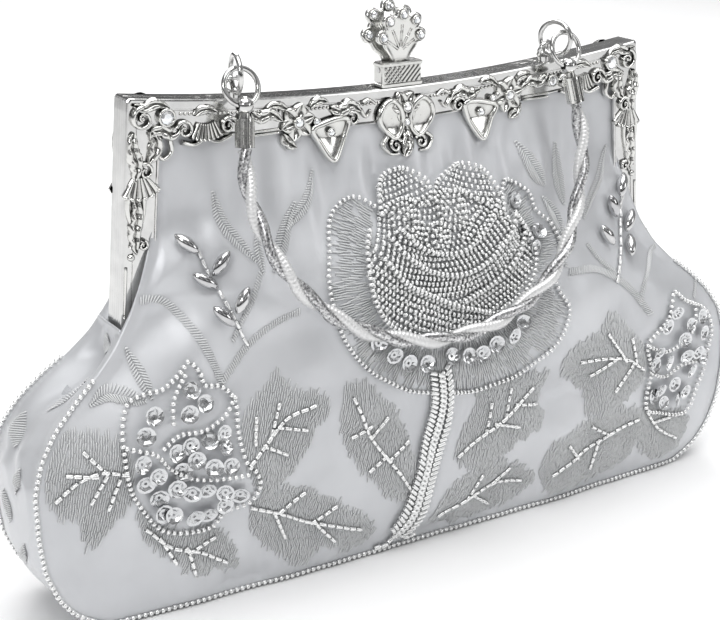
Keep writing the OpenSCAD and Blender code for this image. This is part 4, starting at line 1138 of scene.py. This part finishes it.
class Ornament:
    """Cast decoration on the face of one frame half. Heights are above the face of the frame."""

    def __init__(self, face):
        self.face, self.heap, self.stones = face, Heap(), Heap()
        self.out = np.array([0, -1.0 * face, 0])

    def point(self, x, z, h):
        """Place at height h over the frame, or over the satin where that swells past it; kept on the arms."""
        x, z = np.asarray(x, float), np.asarray(z, float)
        edge = arm_x(z) - 0.4
        x = np.clip(x, -edge, edge)
        under = smooth_depth(x, z)
        clear = np.clip((149.5 - z) / 5, 0, 1) * np.clip((90 - np.abs(x)) / 5, 0, 1)
        lift = np.clip(under - FRONT_Y + 0.25, 0, 9) * clear
        return np.stack([x, -(FRONT_Y + lift + h) * self.face, z], -1)

    def bar(self, path, width, height, taper, step=0.8, base=0.0):
        """Half-round ridge along a curve; taper is the width left at its far end."""
        pts = curve(path, step)
        n = len(pts)
        w = np.linspace(1, taper, n) * width * 0.56
        p = self.point(pts[:, 0], pts[:, 1], base)
        d = unit(np.gradient(pts, axis=0))
        q = np.stack([-d[:, 1], np.zeros(n), d[:, 0]], -1)
        rise = height * np.linspace(1, (1 + taper) / 2, n)
        sunk = self.out * 0.5
        rows = [p + q * w[:, None] - sunk]
        for a in np.linspace(0, np.pi, 7):
            rows.append(p + q * (math.cos(a) * w)[:, None] + self.out * (math.sin(a) ** 0.8 * rise)[:, None])
        rows.append(p - q * w[:, None] - sunk)
        grid = np.stack(rows, 1)
        f = grid_faces(n, len(rows))
        k = len(rows)
        start = self.heap.n
        self.heap.add(grid.reshape(-1, 3), f if self.face > 0 else f[:, ::-1])
        self.heap.faces.append([start + i for i in range(k)][::self.face])
        self.heap.faces.append([start + (n - 1) * k + i for i in range(k)][::-self.face])

    def scroll(self, x, z, r, start, turns, width, height, hand):
        """Spiral that winds in to an eye; hand is 1 or -1, start an angle in degrees."""
        a = np.linspace(0, turns * 2 * np.pi, max(8, int(turns * 14)))
        rr = r * (1 - a / a[-1] * 0.82)
        ang = math.radians(start) + hand * a
        self.bar(np.stack([x + rr * np.cos(ang), z + rr * np.sin(ang)], -1), width, height, 0.55, 0.5, 0.5)
        self.knob(x, z, r * 0.26, 1.5)

    def knob(self, x, z, r, height, base=0.0):
        profile = [(-0.6, 1.0), (0.0, 1.0), (0.45, 0.92), (0.8, 0.66), (0.97, 0.33), (1.0, 0.02)]
        self.turned(profile, x, z, r, height, base, 12, self.heap)

    def turned(self, profile, x, z, r, height, base, sides, heap):
        """Turned shape whose axis stands out of the frame."""
        across = [1.0, 0, 0]
        fr = np.stack([across, np.cross(self.out, across), self.out])[None]
        stamp(heap, revolve([(h * height, q * r) for h, q in profile], sides), self.point([x], [z], base), fr)

    def leaf(self, path, width, height, lobes, base=0.2):
        """Acanthus leaf: a curved midrib with lobed sides that lift at their tips."""
        pts = curve(path, 0.7)
        n = len(pts)
        t = np.linspace(0, 1, n)
        d = unit(np.gradient(pts, axis=0))
        q = np.stack([-d[:, 1], d[:, 0]], -1)
        saw = (t * lobes) % 1.0
        half = width * 0.6 * np.sin(np.clip(t * 0.93 + 0.07, 0, 1) * np.pi) ** 0.7
        half = half * (0.62 + 0.38 * np.sin(saw * np.pi) ** 0.7)
        cols = []
        for v in (-1, -0.82, -0.55, -0.28, -0.1, 0, 0.1, 0.28, 0.55, 0.82, 1):
            pos = pts + q * (v * half)[:, None] + d * (abs(v) * width * 0.12)
            vein = 0.28 * np.cos(saw * 2 * np.pi) * (abs(v) > 0.05)
            across = 0.35 + 0.65 * (1 - (abs(v) - 0.55) ** 2 / 0.3)
            h = base + height * across * (0.55 + 0.45 * np.sin(np.pi * t)) + vein
            if v == 0:
                h = h - 0.3 * height
            if abs(v) == 1:
                h = np.full(n, -0.3)
            cols.append(self.point(pos[:, 0], pos[:, 1], h))
        grid = np.stack(cols, 1)
        f = grid_faces(n, len(cols))
        self.heap.add(grid.reshape(-1, 3), f if self.face > 0 else f[:, ::-1])

    def shell(self, x, z, r0, r1, a0, a1, ribs, height):
        """Fan of ribs with scalloped ends."""
        middle = (r0 + r1) / 2
        w = math.radians(abs(a1 - a0) / (ribs - 1)) * middle * 0.98
        for a in np.linspace(a0, a1, ribs):
            c, s = math.cos(math.radians(a)), math.sin(math.radians(a))
            path = [(x + c * r, z + s * r) for r in np.linspace(r0, r1, 4)]
            self.bar(path[::-1], w * r1 / middle, height, max(0.35, r0 / r1), 0.8, 0.15)
            self.knob(x + c * r1, z + s * r1, w * 0.55, height * 1.15, 0.15)

    def flower(self, x, z, r, turn, height, stone):
        """Six petals around a stone."""
        for a in np.radians(turn + 60.0 * np.arange(6)):
            path = [(x + math.cos(a) * r * k, z + math.sin(a) * r * k) for k in (0.12, 0.58, 1.08)]
            self.leaf(path, r * 0.92, height * 0.8, 1, 0.35)
        self.stone(x, z, stone, height * 0.9)

    def stone(self, x, z, r, base):
        """Faceted stone in a round cup with a rolled rim."""
        cup = [(-1.0, 1.28), (0.55, 1.30), (0.8, 1.22), (0.85, 1.1), (0.75, 0.98), (0.4, 0.94)]
        crown = [(0.35, 0.99), (0.62, 0.94), (1.0, 0.6), (1.06, 0.03)]
        self.turned(cup, x, z, r, 1.1, base, 20, self.heap)
        self.turned(crown, x, z, r, 1.0, base + 0.15, 8, self.stones)

    def plate(self, outline, height, base, rim):
        """Raised flat shape with a rim around its edge."""
        p = curve(outline, 0.9, closed=True)[:-1]
        mid = p.mean(0)
        n = len(p)
        rings = []
        for k, h in ((1.0, -0.5), (1.0, height * 0.6), (0.94, height), (0.78, height * 0.82),
                     (0.4, height * 0.8), (0.02, height * 0.8)):
            ring = mid + (p - mid) * k
            rings.append(self.point(ring[:, 0], ring[:, 1], base + h))
        area = 0.5 * np.sum(p[:, 0] * np.roll(p[:, 1], -1) - np.roll(p[:, 0], -1) * p[:, 1])
        f = grid_faces(len(rings), n, wrap=True)
        if (area > 0) != (self.face > 0):
            f = f[:, ::-1]
        self.heap.add(np.stack(rings).reshape(-1, 3), f)
        self.bar(np.concatenate([p, p[:1]]), rim, rim * 0.75, 1.0, 0.9, base + height * 0.7)

    def strip(self, x0, x1, z):
        """Two fine straight ridges."""
        for level in (z, z + 1.1):
            self.bar([(x0, level), ((x0 + x1) / 2, level), (x1, level)], 0.75, 0.7, 1.0, 2.0)


def decorate(face):
    """The whole ornament of one frame half: two mirrored wings, the middle and a row of fine beading."""
    o = Ornament(face)
    for m in (-1, 1):
        def path(*pairs):
            return [(m * x, z) for x, z in pairs]

        def lean(angle):
            return angle if m > 0 else math.copysign(180, angle) - angle

        # corner: bezel stone, scrolls and a ribbed fan that runs down the arm
        o.stone(m * 85.0, 155.2, 2.2, 0.9)
        o.scroll(m * 92.5, 155.5, 3.6, 90, 1.4, 1.4, 1.4, -m)
        o.leaf(path((95.5, 160), (92, 158.6), (88, 159.6), (84, 158)), 3.4, 1.3, 3)
        o.leaf(path((91, 150.5), (87, 151.5), (83, 150), (80, 152.5)), 4.4, 1.6, 4)
        o.leaf(path((90.5, 152), (88.6, 148.5), (89.4, 144.5), (91.5, 142)), 4.2, 1.6, 3)
        o.leaf(path((95.6, 152), (96.2, 147), (95, 142), (95.8, 137)), 4.6, 1.5, 5)
        o.scroll(m * 92.4, 139.6, 2.6, lean(60), 1.2, 1.2, 1.2, m)
        o.shell(m * 94.5, 141.0, 3, 9.6, lean(-128), lean(-62), 6, 1.2)
        o.bar(path((98.0, 134), (98.4, 128), (97.2, 122), (98.2, 117)), 1.6, 1.1, 0.5)
        o.bar(path((93.0, 133), (93.4, 127), (94.8, 122), (95.2, 118)), 1.5, 1.1, 0.5)
        o.leaf(path((95.8, 133), (95.6, 127), (96.6, 121), (96.4, 115)), 4.4, 1.3, 5)
        o.scroll(m * 94.2, 117.2, 1.7, 80, 1.1, 1.0, 1.0, m)
        o.knob(m * 98.0, 113.8, 1.2, 1.2)
        o.bar(path((99.8, 111), (100.4, 103), (101, 95)), 0.9, 0.5, 0.8, 2.0)
        o.bar(path((91.0, 111), (91.9, 103), (92.8, 95)), 0.9, 0.5, 0.8, 2.0)
        o.bar(path((84, 148.6), (83.6, 144.6), (86.4, 142.6), (88.2, 145.2), (86.4, 146.8)),
              1.5, 1.3, 0.6, 0.6)
        # wing-like shell with curls
        o.shell(m * 72, 157.0, 5.2, 10.2, -118, -62, 8, 1.5)
        o.scroll(m * 79.2, 150.6, 3.0, lean(20), 1.3, 1.3, 1.4, m)
        o.scroll(m * 64.6, 150.4, 2.8, lean(160), 1.3, 1.3, 1.4, -m)
        o.leaf(path((76, 154.6), (72, 156.2), (68, 154.8)), 3.0, 1.2, 2)
        o.bar(path((80, 147), (76, 145.8), (72, 147.2), (68, 145.8), (63, 147.4)), 1.5, 1.3, 0.7)
        o.stone(m * 59.2, 151.4, 1.7, 0.9)
        o.leaf(path((57, 153.6), (54, 151.4), (50, 152.2), (46, 149.6)), 4.0, 1.5, 4)
        o.strip(m * 58, m * 47, 146.0)
        # flower with a pointed leaf
        o.flower(m * 40.6, 148.6, 5.2, 15, 1.9, 1.5)
        o.leaf(path((46, 145.6), (44.2, 142.6), (41.4, 140.8)), 3.6, 1.5, 2)
        o.leaf(path((44, 153), (47.2, 154.6), (51, 154.4)), 2.8, 1.2, 2)
        o.leaf(path((36, 152.6), (33, 154.4), (29.6, 153.8)), 3.0, 1.3, 3)
        # drop that ends in a point
        o.plate(path((22.6, 147.4), (26.2, 148.2), (31.6, 147.2), (35.4, 145.6), (33, 141.2), (30.4, 136.6),
                     (28.6, 135.6), (26.6, 138), (24, 142.6)), 1.2, 0.2, 1.7)
        o.bar(path((26.2, 145.6), (28.4, 139.6), (31.6, 144.8)), 1.0, 0.9, 0.8)
        o.stone(m * 29.0, 144.2, 1.2, 1.5)
        o.stone(m * 34.0, 148.2, 1.0, 1.0)
        # leaf scroll with claws beside the middle
        o.leaf(path((29, 151.8), (25, 150.4), (21, 151.8), (17.5, 149.6)), 4.6, 1.6, 4)
        o.scroll(m * 20.4, 147.4, 2.5, lean(40), 1.2, 1.2, 1.4, m)
        o.bar(path((17.5, 150), (15.4, 147.4), (13.4, 149.4)), 1.4, 1.3, 0.6, 0.6)
        o.bar(path((16.6, 151.8), (14.2, 152.8), (11.8, 151.2)), 1.3, 1.2, 0.6, 0.6)
    # middle: flower between two rimmed lobes, over a hanging cluster of scrolls
    o.plate([(-9.2, 149.8), (-6, 151.6), (-2.6, 148.6), (-2.0, 143.6), (-4.8, 139.6), (-8.4, 142.2),
             (-10.6, 146)], 1.3, 0.2, 1.6)
    o.plate([(8.6, 149.8), (5.2, 151.6), (1.6, 148.6), (1.0, 143.6), (3.8, 139.6), (7.6, 142.2),
             (9.8, 146)], 1.3, 0.2, 1.6)
    o.flower(-0.5, 149.2, 4.6, 0, 2.0, 1.4)
    o.scroll(-5.2, 137.2, 2.4, 30, 1.3, 1.3, 1.4, 1)
    o.scroll(4.6, 137.4, 2.3, 150, 1.3, 1.3, 1.4, -1)
    o.leaf([(-0.8, 143.4), (-0.4, 139.4), (-1.2, 135.6), (-2.6, 133.8)], 4.4, 1.7, 3, 0.4)
    o.bar([(-7.6, 140), (-9.6, 137.6), (-7.4, 134.8), (-4.4, 134.6)], 1.5, 1.4, 0.6, 0.6)
    o.bar([(6.8, 140.2), (9.2, 138), (7.0, 135), (3.2, 134.8)], 1.5, 1.4, 0.6, 0.6)
    o.stone(-0.6, 144.2, 1.1, 1.6)
    # fine beading between the polished strip and the ornament
    for x in np.arange(-80, 80.5, 1.45):
        if abs(x - CLASP_X) > 8.6:
            o.knob(x, rail_z(x) - 4.35, 0.55, 0.6)
    return o


def collar():
    """Clasp collar: a block with rolled rims, cross-hatched on one half and slanted lines on the other."""
    heap = Heap()
    x0, x1, y0, y1, z0, z1 = CLASP_X - 8, CLASP_X + 8, -5.6, 1.4, 155.7, 163.6
    levels = [(z0, 0.5), (z0 + 0.3, 0.1), (z0 + 1.1, 0.1), (z0 + 1.35, 0.5),
              (z1 - 1.35, 0.5), (z1 - 1.1, 0.1), (z1 - 0.35, 0.1), (z1, 0.5)]
    corner = 1.0
    rings = []
    for z, inset in levels:
        pts = []
        for cx, cy, a0 in ((x1, y1, 0), (x0, y1, 90), (x0, y0, 180), (x1, y0, 270)):
            for a in np.radians([a0, a0 + 30, a0 + 60, a0 + 90]):
                px = cx - math.copysign(corner + inset, cx - CLASP_X) + corner * math.cos(a)
                py = cy - math.copysign(corner + inset, cy + 2) + corner * math.sin(a)
                pts.append((px, py, z))
        rings.append(pts)
    rings = np.array(rings)
    heap.add(rings.reshape(-1, 3), grid_faces(len(rings), 16, wrap=True))
    heap.faces.append(list(range(16))[::-1])
    heap.faces.append([(len(rings) - 1) * 16 + i for i in range(16)])
    low, high = z0 + 1.5, z1 - 1.5
    for y in (y0 + 0.42, y1 - 0.42):
        for slant in (1, -1):
            for start in np.arange(x0 - 8, x1 + 8, 1.75):
                ts = np.linspace(0, 1, 24)
                xs = start + slant * ts * (high - low) * 0.95
                zs = low + ts * (high - low)
                keep = (xs > x0 + 1.2) & (xs < (x1 - 1.0 if slant > 0 else CLASP_X))
                if keep.sum() < 3:
                    continue
                run = np.stack([xs[keep], np.full(keep.sum(), y), zs[keep]], -1)
                tube(heap, run[[0, len(run) // 2, -1]], 0.22, 6)
    return heap


LOBE_ANGLES = np.radians([0, 45, 90, 135, 180])


def clasp_leaf(body_r, lobe_r, stem, centre, stone_r, origin, lean):
    """Fan-shaped leaf with lobes, a raised edge and engraved veins, and the stones on both its faces."""
    a = np.radians(np.linspace(-35, 215, 126))
    r = np.full(len(a), body_r)
    wide = lobe_r * 1.05
    for lobe in LOBE_ANGLES:
        gap = np.abs(a - lobe)
        reach = body_r * np.cos(gap) + np.sqrt(np.maximum(wide ** 2 - (body_r * np.sin(gap)) ** 2, 0))
        r = np.where((body_r * np.sin(gap) < wide) & (gap < 1), np.maximum(r, reach), r)
    edge = np.stack([r * np.cos(a), centre + r * np.sin(a)], -1)
    lead = np.stack([np.linspace(stem / 2, edge[0, 0], 9)[:-1] - 0.6 * np.sin(np.linspace(0, np.pi, 9))[:-1],
                     np.linspace(0.0, edge[0, 1], 9)[:-1]], -1)
    outline = np.concatenate([lead, edge, (lead * [-1, 1])[::-1]])
    mid = np.array([0.0, centre * 0.86])
    n = len(outline)
    heap, stones = Heap(), Heap()
    c, s = math.cos(math.radians(lean)), math.sin(math.radians(lean))
    turn = np.array([[1, 0, 0], [0, c, s], [0, -s, c]])

    def place(p):
        return np.asarray(p) @ turn + origin

    section = [(0.02, 0.50), (0.35, 0.52), (0.70, 0.50), (0.84, 0.55), (0.90, 0.85), (0.96, 0.85), (1.0, 0.5)]
    rings = []
    for k, h in section + [(k, -h) for k, h in section[::-1]]:
        ring = mid + (outline - mid) * k
        rings.append(place(np.stack([ring[:, 0], np.full(n, -h), ring[:, 1]], -1)))
    heap.add(np.stack(rings).reshape(-1, 3), grid_faces(len(rings), n, wrap=True))
    cup = revolve([(-0.4, 1.3), (0.55, 1.32), (0.85, 1.2), (0.9, 1.06), (0.6, 0.98)], 22)
    crown = revolve([(0.5, 1.0), (0.95, 0.9), (1.35, 0.58), (1.42, 0.03)], 8)
    for side in (1, -1):
        out = np.array([[1.0, 0, 0], [0, 0, side], [0, -1.0 * side, 0]]) @ turn
        for t in LOBE_ANGLES:
            tip = np.array([body_r * math.cos(t), centre + body_r * math.sin(t)])
            start = np.array([0.0, centre * 0.55])
            for off in (-0.35, 0.35):
                line = [start + (tip - start) * k for k in (0.12, 0.45, 0.72)]
                q = unit(np.array([-(tip - start)[1], (tip - start)[0]])) * off
                tube(heap, place([(p[0] + q[0], -0.52 * side, p[1] + q[1]) for p in line]), 0.16, 6)
            spot = place([(tip[0], -0.5 * side, tip[1])])
            stamp(heap, cup, spot, out[None], stone_r * 0.82)
            stamp(stones, crown, spot, out[None], stone_r * np.array([[0.84, 0.84, 0.8]]))
    return heap, stones


# middle of the rope from cap to cap, as in the CAD
ROPE_ROUTE = [(-64.15, -15, 144.9), (-65, -17, 138), (-65, -20, 130), (-63, -24, 120), (-59, -28, 110.5),
              (-53, -30.5, 102), (-45, -32, 94.5), (-36, -33, 88.5), (-25, -33.5, 83.5), (-13, -33.5, 80),
              (0, -33.5, 78.5), (12, -33.5, 79.5), (23, -33, 82), (33, -32, 86), (42, -30.5, 91.5),
              (49, -28.5, 98.5), (54, -26, 106), (58.5, -23, 115), (61.5, -20.5, 125), (63, -18, 134),
              (62.3, -15, 144.8)]
LAY_LENGTH = 27.0       # of one turn of the strands round each other
STRAND_OFFSET = 1.12


def rope():
    """Handle rope: a ribbed strand and a glittering strand laid round each other."""
    route = curve(ROPE_ROUTE, 1.0)
    centre, _ = spaced(route, 0.42)
    _, s, u = frames_along(centre)
    d = np.concatenate([[0], np.cumsum(np.linalg.norm(np.diff(centre, axis=0), axis=1))])
    turn = d * 2 * np.pi / LAY_LENGTH
    ribbed = 1.50 + 0.30 * (((d / 1.26) % 1.0) < 0.5)
    glittering = 1.60 + 0.05 * np.sin(d * 2 * np.pi / 0.9)
    heap = Heap()
    for a, radii, sides in ((turn, ribbed, 14), (turn + np.pi, glittering, 16)):
        split = len(heap.faces)
        aside = (np.cos(a) * STRAND_OFFSET)[:, None] * s + (np.sin(a) * STRAND_OFFSET)[:, None] * u
        tube(heap, centre + aside, radii, sides)
    o = heap.build("handle_rope_strands", "rope_band", "rope")
    o.data.materials.append(MAT["rope_glitter"])
    index = np.zeros(len(o.data.polygons), np.int32)
    index[split:] = 1
    o.data.polygons.foreach_set("material_index", index)
    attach(o, "handle")
    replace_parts(o, "handle_rope")


# ---------------------------------------------------------------- everything in its place

make_camera()
rope()

floor_mesh = bpy.data.meshes.new("floor")
floor_mesh.from_pydata(FLOOR, [], [(0, 1, 2, 3)])
floor_mesh.materials.append(MAT["floor"])
into_scene("floor", floor_mesh)

make_world()
for light in LIGHTS:
    area_light(*light)
bpy.context.scene.view_settings.view_transform = "Standard"

for face, end in ((1, "front"), (-1, "rear")):
    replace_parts(bend(satin_panel(end + "_satin", face)), end + "_panel")
    embroidery(face)
    piping(face, end + "_piping_beads", end + "_piping")
    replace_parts(bend(lining_panel(end + "_lining_cloth", face)), end + "_lining")
for side, node in ((-1, "left_gusset"), (1, "right_gusset")):
    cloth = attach(gusset(node + "_satin", side), "pouch")
    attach(gusset_leaves(node + "_leaf_stitches", side), "pouch")
    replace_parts(cloth, node)
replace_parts(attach(tub("tub_cloth"), "pouch"), "lining_tub")
pocket_cloth, pocket_hem = pocket("pocket_cloth")
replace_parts(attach(pocket_cloth, "pouch"), "inner_pocket")
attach(pocket_hem, "pouch")
for piece, node in zip(base_parts(), ("base_panel", "base_board")):
    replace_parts(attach(piece, "pouch"), node)

for face, end in ((1, "front"), (-1, "rear")):
    ornament = decorate(face)
    for heap, piece, material, node in ((channel(face), "_channel", "polished_metal", "_frame_channel"),
                                        (ornament.heap, "_ornament", "cast_metal", "_filigree"),
                                        (ornament.stones, "_stones", "rhinestone", "_frame_stones")):
        made = heap.build(end + piece, material, smooth=material == "cast_metal")
        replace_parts(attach(made, end + "_half"), end + node)

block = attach(collar().build("collar_block", "cast_metal", smooth=False), "front_half")
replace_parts(block, "clasp_collar")
for name, body, leaf_node, gem_node, shape in (
        ("lever_leaf", "clasp_lever", "front_fan_lever", "front_fan_stones",
         (7.0, 2.2, 5.0, 10.6, 1.5, (CLASP_X, -2.6, 161.2), 6.0)),
        ("rear_leaf", "front_half", "rear_fan", "rear_fan_stones",
         (8.6, 2.4, 8.5, 8.3, 1.6, (CLASP_X, 0.6, 163.5), -12.0))):
    leaf, gems = clasp_leaf(*shape)
    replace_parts(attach(leaf.build(name, "cast_metal"), body), leaf_node)
    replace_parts(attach(gems.build(name + "_gems", "rhinestone", smooth=False), body), gem_node)

KEPT_NODES = {
    "spring_steel": ["front_retainer", "rear_retainer", "lever_spring"],
    "cast_metal": ["left_cap", "right_cap"],
    "polished_metal": ["left_hinge_rivet", "right_hinge_rivet", "collar_rivets", "lever_pin", "catch_tongue",
                       "left_eyelet", "right_eyelet", "left_link_ring", "right_link_ring", "left_handle_ring",
                       "right_handle_ring", "left_ball", "right_ball"],
}
for material, nodes in KEPT_NODES.items():
    for node in nodes:
        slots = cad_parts[node].data.materials
        slots.clear()
        slots.append(MAT[material])
